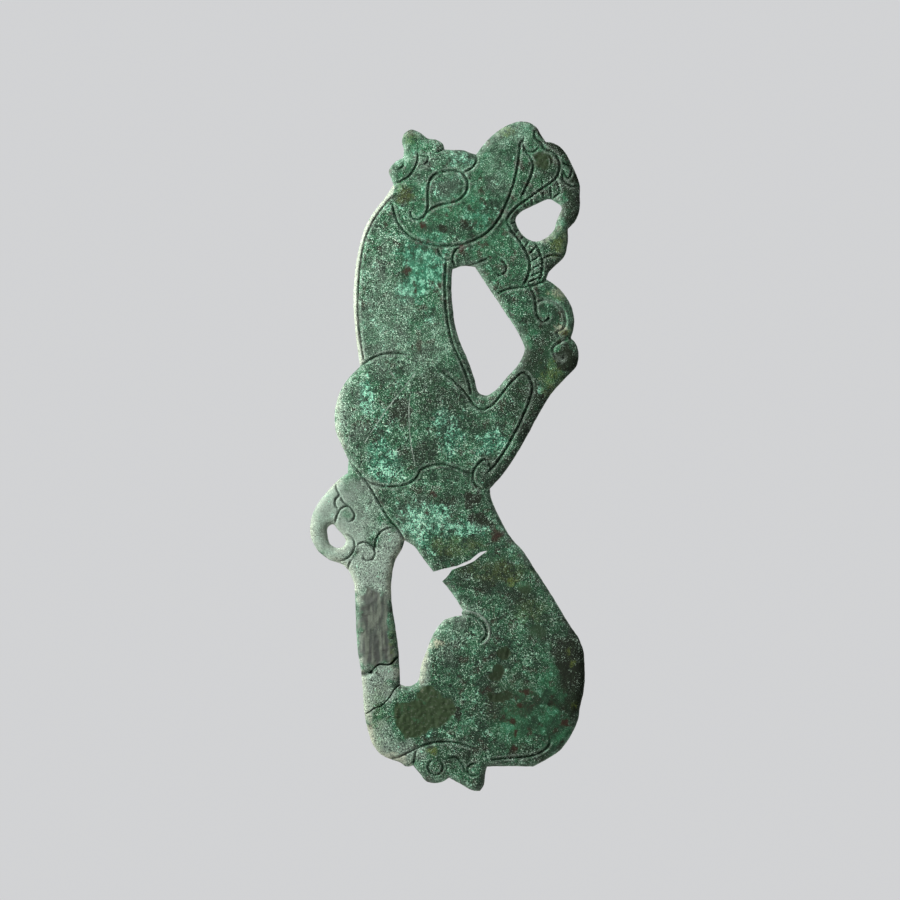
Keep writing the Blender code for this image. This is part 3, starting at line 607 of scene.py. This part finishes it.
@dataclass
class Weathering:
    """Where the corrosion products lie, and how far they stand off the metal.

    Heights and depths are in metres, the other lengths in units of the sheet. Each noise looks at
    a part of the lattice of its own.
    """

    grain: Grain
    crust_height: float = 0.00008
    wrinkle_height: float = 0.00060
    wrinkle_size: float = 4.5
    streak_size: float = 4.0
    roll_height: float = 0.00010
    roll_size: float = 40.0
    bite_height: float = 0.00007
    bite_size: float = 4.0
    pit_depth: float = 0.00020
    pit_size: float = 6.5
    pit_levels: tuple[float, float] = (0.42, 0.75)
    bloom_size: float = 90.0
    rim_chord: float = 3.0
    rim_reach: float = 12.0
    rim_wave: float = 8.0

    def masks(self, points: np.ndarray) -> dict[str, np.ndarray]:
        """A mask from 0 to 1 for each sort of stain, with ragged edges."""
        masks = {}
        for stain in Stain:
            mask = np.zeros(len(points))
            for numbers in SPOTS.get(stain, []):
                near, cover = self._spot(Spot(*numbers), stain in SOFT_STAINS, points)
                mask[near] = np.maximum(mask[near], cover)
            for patch in EDGED_PATCHES.get(stain, []):
                mask = np.maximum(mask, self._patch(patch, points))
            masks[stain.value] = mask
        return masks

    def _spot(self, spot: Spot, soft: bool, points: np.ndarray) -> tuple[np.ndarray, np.ndarray]:
        """The numbers of the points near a spot, and how far it covers each of them."""
        softness, ragged = (0.4, 1.0) if soft else (0.15, 0.6)
        middle, half = np.array([spot.x, spot.y]), np.array([spot.half_x, spot.half_y])
        near = np.flatnonzero((np.abs(points - middle) < 3.0 * half).all(axis=1))
        away = np.linalg.norm((points[near] - middle) / half, axis=1)
        away += ragged * self.grain.at(points[near] + middle, 0.9 * half.min() + 2.0, octaves=4)
        return near, spot.strength * ease(away, 1.0 + softness, 1.0 - softness)

    def _patch(self, patch: Patch, points: np.ndarray) -> np.ndarray:
        """How far a drawn patch covers each point."""
        edge = Segments.of([smooth(patch.rim, self.rim_chord)])
        gap, _ = edge.measure(points, self.rim_reach)
        signed = np.where(edge.around(points), gap, -gap)
        signed += patch.ragged * self.grain.at(points, self.rim_wave, octaves=3)
        return ease(signed, -patch.soft, patch.soft)

    def plain_masks(self, points: np.ndarray) -> dict[str, np.ndarray]:
        """The few masks of the flat back: a smooth skin under a cloudy pale bloom."""
        cloudy = np.clip(0.3 + self.grain.at(points + 2300.0, self.bloom_size, octaves=4), 0.0, 1.0)
        return {Stain.SMOOTH.value: np.full(len(points), 0.6), Stain.PALE.value: 0.8 * cloudy,
                Stain.OCHRE.value: 0.5 * np.clip(0.5 - 1.6 * cloudy, 0.0, 1.0)}

    def relief(self, points: np.ndarray, masks: dict[str, np.ndarray]) -> np.ndarray:
        """Height of the corroded surface over the cast one.

        Low rolls of the old casting, a fine bitten grain with pits, and a wrinkled crust where the
        olive stain and the dark skin lie.
        """
        crust, skin = masks[Stain.OLIVE.value], masks[Stain.DARK.value]
        rolls = self.roll_height * self.grain.at(points, self.roll_size, octaves=3)
        bites = self.bite_height * self.grain.at(points + 500.0, self.bite_size, octaves=2)
        deep = self.grain.at(points + 900.0, self.pit_size, octaves=2)
        pits = -self.pit_depth * ease(deep, *self.pit_levels)
        streaks = self.grain.at(points * (0.9, 0.6) + 1300.0, self.streak_size, octaves=2)
        folds = self.grain.at(points + 1700.0, self.wrinkle_size, octaves=2)
        wrinkles = self.wrinkle_height * (0.3 * streaks + 0.5 * folds)
        bitten = (bites + pits) * (1.0 - 0.85 * np.maximum(crust, skin))
        return rolls + bitten + (self.crust_height + wrinkles) * crust + 0.6 * wrinkles * skin


@dataclass
class Casting:
    """The bronze casting and its mesh.

    The sizes of the metal are in metres. From the chord on the lengths are in units of the sheet,
    but the rows along a groove are in half-widths of it, and the wall's levels are shares of the
    wall's height.
    """

    height: float = 0.230
    plate_thickness: float = 0.0027
    rim_thickness: float = 0.0013
    edge_rounding: float = 0.0032
    swell_height: float = 0.0005
    least_metal: float = 0.0006
    most_metal: float = 0.00325
    back_rounding: float = 0.0005
    back_waves: float = 0.00006
    chord: float = 1.5
    spacing: float = 1.5
    back_spacing: float = 7.0
    back_wave_size: float = 30.0
    edge_rows: tuple[float, ...] = (0.55, 1.2, 2.0, 3.1, 4.4)
    back_rows: tuple[float, ...] = (0.7, 1.8)
    groove_rows: tuple[float, ...] = (0.0, -0.5, 0.5, -1.0, 1.0, -1.5, 1.5)
    wall_levels: tuple[float, ...] = (0.33, 0.66)
    ragged: float = 0.35
    ragged_size: float = 7.0
    least_step: float = 0.42

    def __post_init__(self) -> None:
        """Lay out the outline and the cut lines."""
        self.grain = Grain(seed=11)
        outer = join(OUTER_EDGE, self.chord)
        low, high = outer.min(axis=0), outer.max(axis=0)
        self.unit = self.height / (high[1] - low[1])
        self.middle = (low + high) / 2
        gaps = [THROAT_GAP, MOUTH, TAIL_EYE, HOCK_GAP + WAIST_CRACK + HOCK_GAP_BODY_SIDE]
        self.loops = [self._worn(loop) for loop in [outer] + [join(gap, self.chord) for gap in gaps]]
        self.outline = Segments.of(self.loops)
        cast_gap = [join(HOCK_GAP, self.chord), join(HOCK_GAP_BODY_SIDE, self.chord)]
        self.cast_edges = Segments.of(self.loops[:-1] + cast_gap)
        # Every line but the knee rim and the scratches gets painted shade in its floor
        self.grooves = [
            Groove(CHASED_LINES, 0.00115, 0.00042, taper=0.0012, lip=0.00009),
            # the pale share paints a highlight along the raised knee rim
            Groove([KNEE_RIM], 0.0010, -0.00020, taper=0.0012, painted_shade=0.0, pale=2.6),
            # the pale share paints a highlight on the walls of the paw curls
            Groove(PAW_CURLS, 0.00115, 0.00042, taper=0.0012, lip=0.00009, painted_shade=0.25, pale=1.4),
            Groove(FINE_LINES, 0.0010, 0.00040, taper=0.0012, lip=0.00008, painted_shade=0.8),
            Groove(UPPER_TEETH + LOWER_TEETH, 0.0009, 0.00038, taper=0.0009, lip=0.00009, painted_shade=0.5),
            Groove(LEG_CRACKS[:1], 0.0008, 0.0013),
            Groove(LEG_CRACKS[1:], 0.00055, 0.0009),
            Groove(LEG_CHIP, 0.0027, 0.0016),
            Groove(SCRATCHES, 0.0005, 0.00005, taper=0.003, tip=0.0, painted_shade=0.0, pale=3.2),
        ]
        self.stains = Weathering(self.grain)

    def _worn(self, loop: np.ndarray) -> np.ndarray:
        """A closed loop with the small unevenness of a corroded edge."""
        worn = row_beside(loop, self.ragged * self.grain.at(loop, self.ragged_size, octaves=3))
        worn[-1] = worn[0]
        return worn

    def _strokes(self, groove: Groove) -> tuple[float, list[np.ndarray]]:
        """Half the groove's width on the sheet, and its smooth paths."""
        return groove.width / self.unit / 2, [smooth(run, self.chord) for run in groove.runs]

    def front_height(self, points: np.ndarray) -> tuple[np.ndarray, dict[str, np.ndarray]]:
        """Height of the front above the back, with the masks that the finish reads.

        The plate rounds over to its rim as a quarter of an ellipse, swells over the large forms
        as an upturned bowl, and is cut by each groove as a parabola with small lips.

        Args:
            points: places on the sheet.

        Returns:
            The heights in metres, and a mask from 0 to 1 for each attribute.
        """
        reach = self.edge_rounding / self.unit
        gap, _ = self.cast_edges.measure(points, reach)
        share = gap / reach
        round_over = np.sqrt(share * (2.0 - share))
        height = self.rim_thickness + (self.plate_thickness - self.rim_thickness) * round_over
        for centre, spread in SWELLS:
            bowl = np.clip(1.0 - (((points - centre) / spread)**2).sum(axis=1), 0.0, 1.0)
            height += self.swell_height * bowl * share
        masks = self.stains.masks(points)
        height += self.stains.relief(points, masks) * ease(share, 0.0, 0.5)
        painted_shade, lip_highlight_and_scratch_wear = np.zeros(len(points)), np.zeros(len(points))
        for groove in self.grooves:
            half, paths = self._strokes(groove)
            lines = Segments.of(paths, groove.taper / self.unit, groove.tip)
            away, value = lines.measure(points, groove.REACH * half)
            near = away / half
            cut = value * np.clip(1.0 - near**2, 0.0, 1.0)
            proud = value * np.exp(-((near - groove.LIP_PLACE) / groove.LIP_SPREAD)**2)
            # The floor of the line, where its painted shade lies
            floor = np.clip(1.15 - (near / groove.PAINTED_SHADE_WIDTH)**2, 0.0, 1.0)
            height += groove.lip * proud - groove.depth * cut
            lip_highlight_and_scratch_wear = np.maximum(lip_highlight_and_scratch_wear, proud if groove.lip > 0.0 else 0.0)
            lip_highlight_and_scratch_wear = np.maximum(lip_highlight_and_scratch_wear, groove.pale * cut)
            painted_shade = np.maximum(painted_shade, groove.painted_shade * value * floor)
        # The groove mask is painted shade in the floor of the lines, cracks and chip
        masks["groove"] = painted_shade
        masks["streak"] = 0.5 + self.grain.at(points * (1.0, 0.12), 3.0, octaves=3)
        # Painted highlight on the lips, the knee rim and the paw curls, and pale wear along the scratches
        masks["lip"] = lip_highlight_and_scratch_wear
        masks["edge"] = 1.0 - ease(share, 0.0, 0.9)
        return np.clip(height, self.least_metal, self.most_metal), masks

    def back_height(self, points: np.ndarray) -> np.ndarray:
        """Height of the back over its plane: low waves, and a small rounding at the outline."""
        reach = self.back_rounding / self.unit
        gap, _ = self.outline.measure(points, reach)
        share = gap * self.unit / self.back_rounding
        rounding = self.back_rounding * (1.0 - np.sqrt(share * (2.0 - share)))
        waves = 1.0 + self.grain.at(points, self.back_wave_size, octaves=3)
        return rounding + self.back_waves * waves * share

    def layout(self, rows: Sequence[float], spacing: float, along_grooves: bool) -> np.ndarray:
        """Points for one side: the outline, rows beside it and the grooves, and an even fill.

        Args:
            rows: distances of the rows beside the outline.
            spacing: distance between the fill's points.
            along_grooves: whether the grooves get rows of their own.

        Returns:
            The points on the sheet, the outline's first.
        """
        beside = np.vstack([row_beside(loop, side * row) for loop in self.loops for row in rows
                            for side in (-1.0, 1.0)])
        kept = [self._clear(beside, min(rows) * 0.8)]
        low, high = self.loops[0].min(axis=0), self.loops[0].max(axis=0)
        across, down = np.meshgrid(np.arange(low[0], high[0], spacing),
                                   np.arange(low[1], high[1], spacing * math.sqrt(0.75)))
        across[1::2] += spacing / 2
        fill = self._clear(np.column_stack((across.ravel(), down.ravel())), max(rows) + 0.6 * spacing)
        for groove in self.grooves if along_grooves else []:
            half, paths = self._strokes(groove)
            kept += [self._clear(row_beside(path, side), 0.5)
                     for path in paths for side in half * np.array(self.groove_rows)]
            away, _ = Segments.of(paths).measure(fill, 4.0 * half)
            fill = fill[away > max(self.groove_rows) * half + 0.5 * spacing]
        inner = np.vstack(kept + [fill])
        cells = np.round(inner / self.least_step).astype(int)
        _, first = np.unique(cells, axis=0, return_index=True)
        outline = np.vstack([loop[:-1] for loop in self.loops])
        return np.vstack((outline, inner[np.sort(first)]))

    def _clear(self, points: np.ndarray, distance: float) -> np.ndarray:
        """The points on the metal that keep a distance from the outline."""
        points = points[self.outline.around(points)]
        gap, _ = self.outline.measure(points, distance + 1.0)
        return points[gap > distance]

    def side(self, points: np.ndarray) -> np.ndarray:
        """Triangles over the metal, counter-clockwise as the sheet is seen."""
        numbers, following = self._ring()
        edges = list(zip(numbers.tolist(), following.tolist()))
        verts, _, faces, _, _, _ = delaunay_2d_cdt(points.tolist(), edges, [], 0, 1e-6, False)
        verts = np.array([tuple(vert) for vert in verts])
        if len(verts) != len(points) or np.abs(verts - points).max() > 1e-4:
            raise ValueError("the outline crosses itself")
        faces = np.array(faces)
        faces = faces[self.outline.around(points[faces].mean(axis=1))]
        first = points[faces[:, 1]] - points[faces[:, 0]]
        second = points[faces[:, 2]] - points[faces[:, 0]]
        clockwise = first[:, 0] * second[:, 1] > first[:, 1] * second[:, 0]
        faces[clockwise] = faces[clockwise][:, ::-1]
        return faces

    def _ring(self) -> tuple[np.ndarray, np.ndarray]:
        """The numbers of the outline's points, and for each the next one in its loop."""
        counts = [len(loop) - 1 for loop in self.loops]
        numbers = np.arange(sum(counts))
        loops = np.split(numbers, np.cumsum(counts)[:-1])
        return numbers, np.concatenate([np.roll(loop, -1) for loop in loops])

    def _wall(self, front: np.ndarray, starts: Sequence[int]) -> list[list[int]]:
        """Quads of the upright edge.

        Args:
            front: the front's triangles, whose edges say which way each quad turns.
            starts: number of the first outline point at each level, from the back up.

        Returns:
            The quads as lists of four point numbers.
        """
        numbers, following = self._ring()
        known = set(map(tuple, np.vstack((front[:, :2], front[:, 1:], front[:, [2, 0]])).tolist()))
        forward = np.array([pair in known for pair in zip(numbers.tolist(), following.tolist())])
        faces = []
        for lower, upper in zip(starts[:-1], starts[1:]):
            quads = np.column_stack((following + upper, numbers + upper, numbers + lower,
                                     following + lower))
            quads[~forward] = quads[~forward][:, ::-1]
            faces += quads.tolist()
        return faces

    def place(self, points: np.ndarray, heights: np.ndarray) -> np.ndarray:
        """World positions of sheet points at the given heights above the back."""
        flat = (points - self.middle) * self.unit
        return np.column_stack((flat[:, 0], -heights, -flat[:, 1]))

    def build(self) -> bpy.types.Object:
        """The whole casting as one closed mesh: worn front, upright edge and plain back."""
        front_points = self.layout(self.edge_rows, self.spacing, along_grooves=True)
        front = self.side(front_points)
        back_points = self.layout(self.back_rows, self.back_spacing, along_grooves=False)
        back = self.side(back_points)
        LOG.info("front %d triangles, back %d", len(front), len(back))
        heights, masks = self.front_height(front_points)
        back_heights = self.back_height(back_points)

        ring = sum(len(loop) - 1 for loop in self.loops)
        wall_height = heights[:ring] - back_heights[:ring]
        levels = [self.place(front_points[:ring], back_heights[:ring] + level * wall_height)
                  for level in self.wall_levels]
        positions = [self.place(front_points, heights), self.place(back_points, back_heights)] + levels
        offsets = np.cumsum([0] + [len(part) for part in positions])
        faces = front.tolist() + (back[:, ::-1] + offsets[1]).tolist()
        faces += self._wall(front, [*offsets[1:-1], 0])
        mesh = bpy.data.meshes.new("bronze_plaque")
        mesh.from_pydata(np.vstack(positions).tolist(), [], faces)
        mesh.validate()
        mesh.update()
        back_masks = self.stains.plain_masks(back_points)
        for name, mask in masks.items():
            whole = np.zeros(offsets[-1])
            whole[:offsets[1]] = mask
            whole[offsets[1]:offsets[2]] = back_masks.get(name, 0.0)
            attribute = mesh.attributes.new(name, "FLOAT", "POINT")
            attribute.data.foreach_set("value", whole.astype(np.float32))
        mesh.shade_smooth()
        return new_object("bronze_plaque", mesh)


def new_object(name: str, data: bpy.types.ID) -> bpy.types.Object:
    """A new object in the scene, with its mesh, light or camera."""
    made = bpy.data.objects.new(name, data)
    bpy.context.scene.collection.objects.link(made)
    return made


class Value:
    """A number in a material, worked out at each point: each operator adds a Math node."""

    def __init__(self, nodes: "Nodes", socket: bpy.types.NodeSocket) -> None:
        """Wrap an output socket."""
        self.nodes = nodes
        self.socket = socket

    def _math(self, operation: str, first: "Value | float", second: "Value | float") -> "Value":
        """The result of a Math node on two values."""
        node = self.nodes.add("ShaderNodeMath", {"operation": operation}, {0: first, 1: second})
        return Value(self.nodes, node.outputs[0])

    def __add__(self, other: "Value | float") -> "Value":
        """Sum."""
        return self._math("ADD", self, other)

    __radd__ = __add__

    def __sub__(self, other: "Value | float") -> "Value":
        """Difference."""
        return self._math("SUBTRACT", self, other)

    def __rsub__(self, other: float) -> "Value":
        """Difference, with the number first."""
        return self._math("SUBTRACT", other, self)

    def __mul__(self, other: "Value | float") -> "Value":
        """Product."""
        return self._math("MULTIPLY", self, other)

    def most(self, other: "Value | float") -> "Value":
        """The larger of two values."""
        return self._math("MAXIMUM", self, other)

    def band(self, low: float, high: float) -> "Value":
        """Rises smoothly from 0 at low to 1 at high; low may be the larger of the two."""
        node = self.nodes.add("ShaderNodeMapRange", {"interpolation_type": "SMOOTHSTEP"},
                              {"Value": self, "From Min": low, "From Max": high})
        return Value(self.nodes, node.outputs["Result"])


class Nodes:
    """The node tree of a material or a world, with one method that adds any node."""

    def __init__(self, owner: bpy.types.Material | bpy.types.World) -> None:
        """Empty the owner's tree."""
        owner.use_nodes = True
        self.tree = owner.node_tree
        self.tree.nodes.clear()

    def add(self, kind: str, settings: dict | None = None, sockets: dict | None = None) -> bpy.types.Node:
        """Add a node.

        Args:
            kind: the node's type.
            settings: the node's own properties, which are set first.
            sockets: a value or a link for each input, by name or number.

        Returns:
            The node.
        """
        node = self.tree.nodes.new(kind)
        for name, setting in (settings or {}).items():
            setattr(node, name, setting)
        for key, given in (sockets or {}).items():
            if isinstance(given, Value):
                given = given.socket
            if isinstance(given, bpy.types.NodeSocket):
                self.tree.links.new(given, node.inputs[key])
            else:
                node.inputs[key].default_value = given
        return node

    def mask(self, name: str) -> Value:
        """The mesh attribute of that name."""
        return Value(self, self.add("ShaderNodeAttribute", {"attribute_name": name}).outputs["Fac"])

    def noise(self, place: bpy.types.NodeSocket, size: float, detail: float, rough: float) -> Value:
        """Smooth noise around 0.5 with features of that size, in metres."""
        node = self.add("ShaderNodeTexNoise", {}, {"Vector": place, "Scale": 1.0 / size, "Detail": detail,
                                                   "Roughness": rough})
        return Value(self, node.outputs["Fac"])

    def dots(self, place: bpy.types.NodeSocket, size: float) -> Value:
        """Distance to the nearest of many scattered points, as a share of that size in metres."""
        node = self.add("ShaderNodeTexVoronoi", {"feature": "F1"}, {"Vector": place, "Scale": 1.0 / size})
        return Value(self, node.outputs["Distance"])

    def tint(self, under: bpy.types.NodeSocket | tuple, over: tuple, share: Value) -> bpy.types.NodeSocket:
        """One colour laid over another by a share from 0 to 1."""
        return self.add("ShaderNodeMix", {"data_type": "RGBA"}, {0: share, 6: under, 7: over}).outputs[2]

    def end(self, kind: str, shader: bpy.types.Node) -> None:
        """Add the output node, with the shader as its surface."""
        self.add(kind, {}, {"Surface": shader.outputs[0]})


def srgb(red: int, green: int, blue: int) -> tuple[float, float, float, float]:
    """A colour for a shader from the three numbers of a screen colour."""
    linear = [((part / 255 + 0.055) / 1.055)**2.4 if part > 10 else part / 255 / 12.92
              for part in (red, green, blue)]
    return linear[0], linear[1], linear[2], 1.0


@dataclass(frozen=True)
class BronzePatina:
    """Green corroded bronze: a mottled ground, pale and dark grain, the stains over it, and painted shade
    and highlights.
    """

    slate: tuple = srgb(27, 55, 38)
    malachite: tuple = srgb(44, 101, 68)
    verdigris: tuple = srgb(48, 122, 96)
    salt: tuple = srgb(190, 220, 199)
    pepper: tuple = srgb(7, 13, 9)
    olive: tuple = srgb(43, 59, 37)
    pale: tuple = srgb(130, 145, 135)
    cuprite: tuple = srgb(48, 21, 13)
    cream: tuple = srgb(178, 178, 158)
    # Dark umber stain, also used as painted shade on the right-hand sides
    umber_and_shade: tuple = srgb(19, 28, 13)
    ochre: tuple = srgb(88, 104, 42)
    dark: tuple = srgb(65, 67, 65)
    ash: tuple = srgb(94, 102, 92)
    flake: tuple = srgb(132, 200, 170)
    brown: tuple = srgb(42, 33, 22)
    # Painted shade for the floor of the lines, cracks and chip
    painted_groove_shade: tuple = srgb(9, 15, 10)
    brown_size: float = 0.0034
    grain_size: float = 0.00033
    coarse_size: float = 0.00066
    speck_size: float = 0.00074
    blotch_size: float = 0.0020
    cloud_size: float = 0.007
    bump_height: float = 0.00040

    def material(self) -> bpy.types.Material:
        """Build the material."""
        material = bpy.data.materials.new("green_bronze_worn")
        nodes = Nodes(material)
        place = nodes.add("ShaderNodeTexCoord").outputs["Object"]
        grain = nodes.noise(place, self.grain_size, 2.0, 0.7)
        coarse = nodes.noise(place, self.coarse_size, 2.0, 0.6)
        blotch = nodes.noise(place, self.blotch_size, 4.0, 0.65)
        cloud = nodes.noise(place, self.cloud_size, 5.0, 0.6)
        brown = nodes.noise(place, self.brown_size, 5.0, 0.7)
        dots = nodes.dots(place, self.speck_size)
        # The stains' masks, in the order of Stain
        olive, dark, umber_and_shade, pale, red, turquoise, ochre, even, cream = (
            nodes.mask(stain.value) for stain in Stain)
        edge = nodes.mask("edge")
        skin = olive.most(dark)
        bare = 1.0 - skin.most(even * 0.8)
        fine = grain.band(0.4, 0.6)
        patchy = blotch.band(0.3, 0.6)

        # Green patches and flakes
        green = (turquoise * 0.16 + blotch * 0.6 + cloud * 0.4).band(0.50, 0.72)
        flake = (turquoise * 0.09 + blotch * 0.65 + coarse * 0.35).band(0.60, 0.65)
        # Pale specks, in clusters and as single grains, and the dark gaps between grains
        plenty = blotch * 0.4 + cloud * 0.25 + pale * 0.04 - umber_and_shade * umber_and_shade * 0.07
        clusters = dots.band(0.34, 0.16) * (coarse + plenty).band(0.82, 0.95)
        salt = clusters.most((grain + plenty * 0.6).band(0.79, 0.85))
        gaps = (grain * 0.5 + coarse * 0.5 + pale * 0.03).band(0.485, 0.43)
        # Streaks of the dark skin
        streaks = nodes.mask("streak") * 0.7 + grain * 0.3
        # Painted highlight on the lips and walls of the lines, on the knee rim and in the paw curls, pale
        # wear along the scratches, and wear on the cast edges
        lip = nodes.mask("lip") * patchy * (0.2 + fine * 0.4)
        worn = edge * patchy * (1.0 - umber_and_shade) * 0.35
        rim = edge * (pale + blotch - 0.5).band(0.2, 0.7) * bare
        colour = self.slate
        for over, share in (
                (self.malachite, (cloud * 0.6 + blotch * 0.4).band(0.38, 0.60)),
                (self.verdigris, green * 0.8),
                (self.pale, (pale + blotch * 0.5 - 0.25).band(0.0, 1.0) * 0.85),
                (self.brown, (brown - pale * 0.1).band(0.54, 0.62) * 0.75),
                # dark umber stain, and painted shade on the snout's slope and the right-hand sides
                (self.umber_and_shade, (umber_and_shade + blotch - 0.5).band(0.05, 0.75) * 0.95),
                (self.flake, flake * (1.0 - umber_and_shade) * (0.25 + bare * 0.6)),
                (self.salt, salt * bare * 0.9),
                (self.cuprite, red * (coarse + red * 0.25).band(0.48, 0.6) * 0.9),
                (self.pepper, gaps * (0.2 + bare * 0.8) * 0.9 * (1.0 - skin)),
                (self.dark, dark * 0.9),
                (self.ash, dark * streaks.band(0.32, 0.78)),
                (self.olive, olive),
                (self.malachite, olive * blotch.band(0.55, 0.75) * 0.4),
                (self.ash, olive * coarse.band(0.56, 0.68) * 0.4),
                (self.umber_and_shade, umber_and_shade * olive * 0.55),
                (self.ochre, ochre * (coarse * 0.5 + blotch * 0.5).band(0.4, 0.6) * 0.8),
                (self.cream, cream * coarse.band(0.35, 0.55) * 0.8),
                # wear on the cast edges, with the painted highlight on the lines' lips and walls and the
                # wear along the scratches
                (self.pale, worn.most(lip)),
                (self.cream, rim * (0.1 + fine * 0.4)),
                # painted shade in the floor of the lines, cracks and chip
                (self.painted_groove_shade, nodes.mask("groove") * 0.75)):
            colour = nodes.tint(colour, over, share)

        height = (grain * 0.55 + coarse * 0.45) * (0.25 + bare * 0.75) + flake * 0.25
        bump = nodes.add("ShaderNodeBump", {}, {"Strength": 1.0, "Distance": self.bump_height,
                                                "Height": height})
        shader = nodes.add("ShaderNodeBsdfPrincipled", {}, {
            "Base Color": colour, "Roughness": 0.6 - skin * 0.12 + fine * 0.1, "Metallic": 0.0,
            "Specular IOR Level": 0.2, "Normal": bump.outputs["Normal"]})
        nodes.end("ShaderNodeOutputMaterial", shader)
        return material


@dataclass
class Studio:
    """Pale room, soft lights and the camera, in metres."""

    casting: Casting
    lens: float = 150.0
    sensor: float = 36.0
    frame_size: float = 900.0
    room_light: float = 0.055
    room_seen: float = 0.66
    floor_drop: float = 0.30
    floor_radius: float = 0.9
    floor_sides: int = 96
    warm: tuple = (1.0, 0.99, 0.96)
    cool: tuple = (0.95, 0.98, 1.0)

    def camera(self) -> None:
        """A long lens square to the plaque, with the sheet's middle in the middle of the frame."""
        data = bpy.data.cameras.new("camera")
        data.lens = self.lens
        data.sensor_width = self.sensor
        half_view = self.sensor / 2 / self.lens
        distance = self.frame_size / 2 * self.casting.unit / half_view
        middle = np.full((1, 2), self.frame_size / 2)
        aim = self.casting.place(middle, np.array([self.casting.plate_thickness]))[0]
        camera = new_object("camera", data)
        camera.location = aim - np.array([0.0, distance, 0.0])
        camera.rotation_euler = (math.pi / 2, 0.0, 0.0)
        bpy.context.scene.camera = camera

    def light(self, name: str, place: tuple[float, float, float], size: float, power: float,
              colour: tuple[float, float, float]) -> None:
        """A square area light that faces the plaque."""
        data = bpy.data.lights.new(name, "AREA")
        data.size = size
        data.energy = power
        data.color = colour
        lamp = new_object(name, data)
        lamp.location = place
        lamp.rotation_euler = (-Vector(place)).to_track_quat("-Z", "Y").to_euler()

    def floor(self) -> None:
        """A pale round floor under the plaque."""
        turn = np.linspace(0.0, 2.0 * math.pi, self.floor_sides, endpoint=False)
        rim = np.column_stack((np.cos(turn), np.sin(turn), np.zeros(len(turn)))) * self.floor_radius
        mesh = bpy.data.meshes.new("floor")
        mesh.from_pydata((rim - (0.0, 0.0, self.floor_drop)).tolist(), [], [list(range(len(turn)))])
        material = bpy.data.materials.new("pale_floor")
        nodes = Nodes(material)
        shader = nodes.add("ShaderNodeBsdfPrincipled", {}, {"Base Color": srgb(225, 224, 220),
                                                            "Roughness": 0.9})
        nodes.end("ShaderNodeOutputMaterial", shader)
        mesh.materials.append(material)
        floor = new_object("floor", mesh)

    def build(self) -> None:
        """Set up the camera, the room and the lights."""
        self.camera()
        self.floor()
        world = bpy.data.worlds.new("room")
        nodes = Nodes(world)
        seen = Value(nodes, nodes.add("ShaderNodeLightPath").outputs["Is Camera Ray"])
        strength = self.room_light + seen * (self.room_seen - self.room_light)
        background = nodes.add("ShaderNodeBackground", {}, {"Color": srgb(252, 253, 255),
                                                            "Strength": strength})
        nodes.end("ShaderNodeOutputWorld", background)
        bpy.context.scene.world = world
        self.light("key", (-0.36, -0.13, 0.11), 0.08, 4.1, self.warm)
        self.light("top", (-0.10, -0.17, 0.52), 0.12, 3.0, self.warm)
        self.light("back", (0.35, 0.80, 0.35), 0.4, 7.0, self.warm)
        self.light("fill", (-0.4, -1.1, 0.5), 0.5, 0.8, self.cool)
        bpy.context.scene.view_settings.view_transform = "Standard"


def main() -> None:
    """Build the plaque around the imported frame, and the studio."""
    logging.basicConfig(level=logging.INFO, format="%(name)s: %(message)s")
    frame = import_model()
    casting = Casting()
    plaque = casting.build()
    plaque.data.materials.append(BronzePatina().material())
    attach(plaque, "root")
    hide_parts("animal_mount")
    LOG.info("%s: %d faces, over %s", plaque.name, len(plaque.data.polygons), sorted(frame["nodes"]))
    Studio(casting).build()


if __name__ == "__main__":
    main()
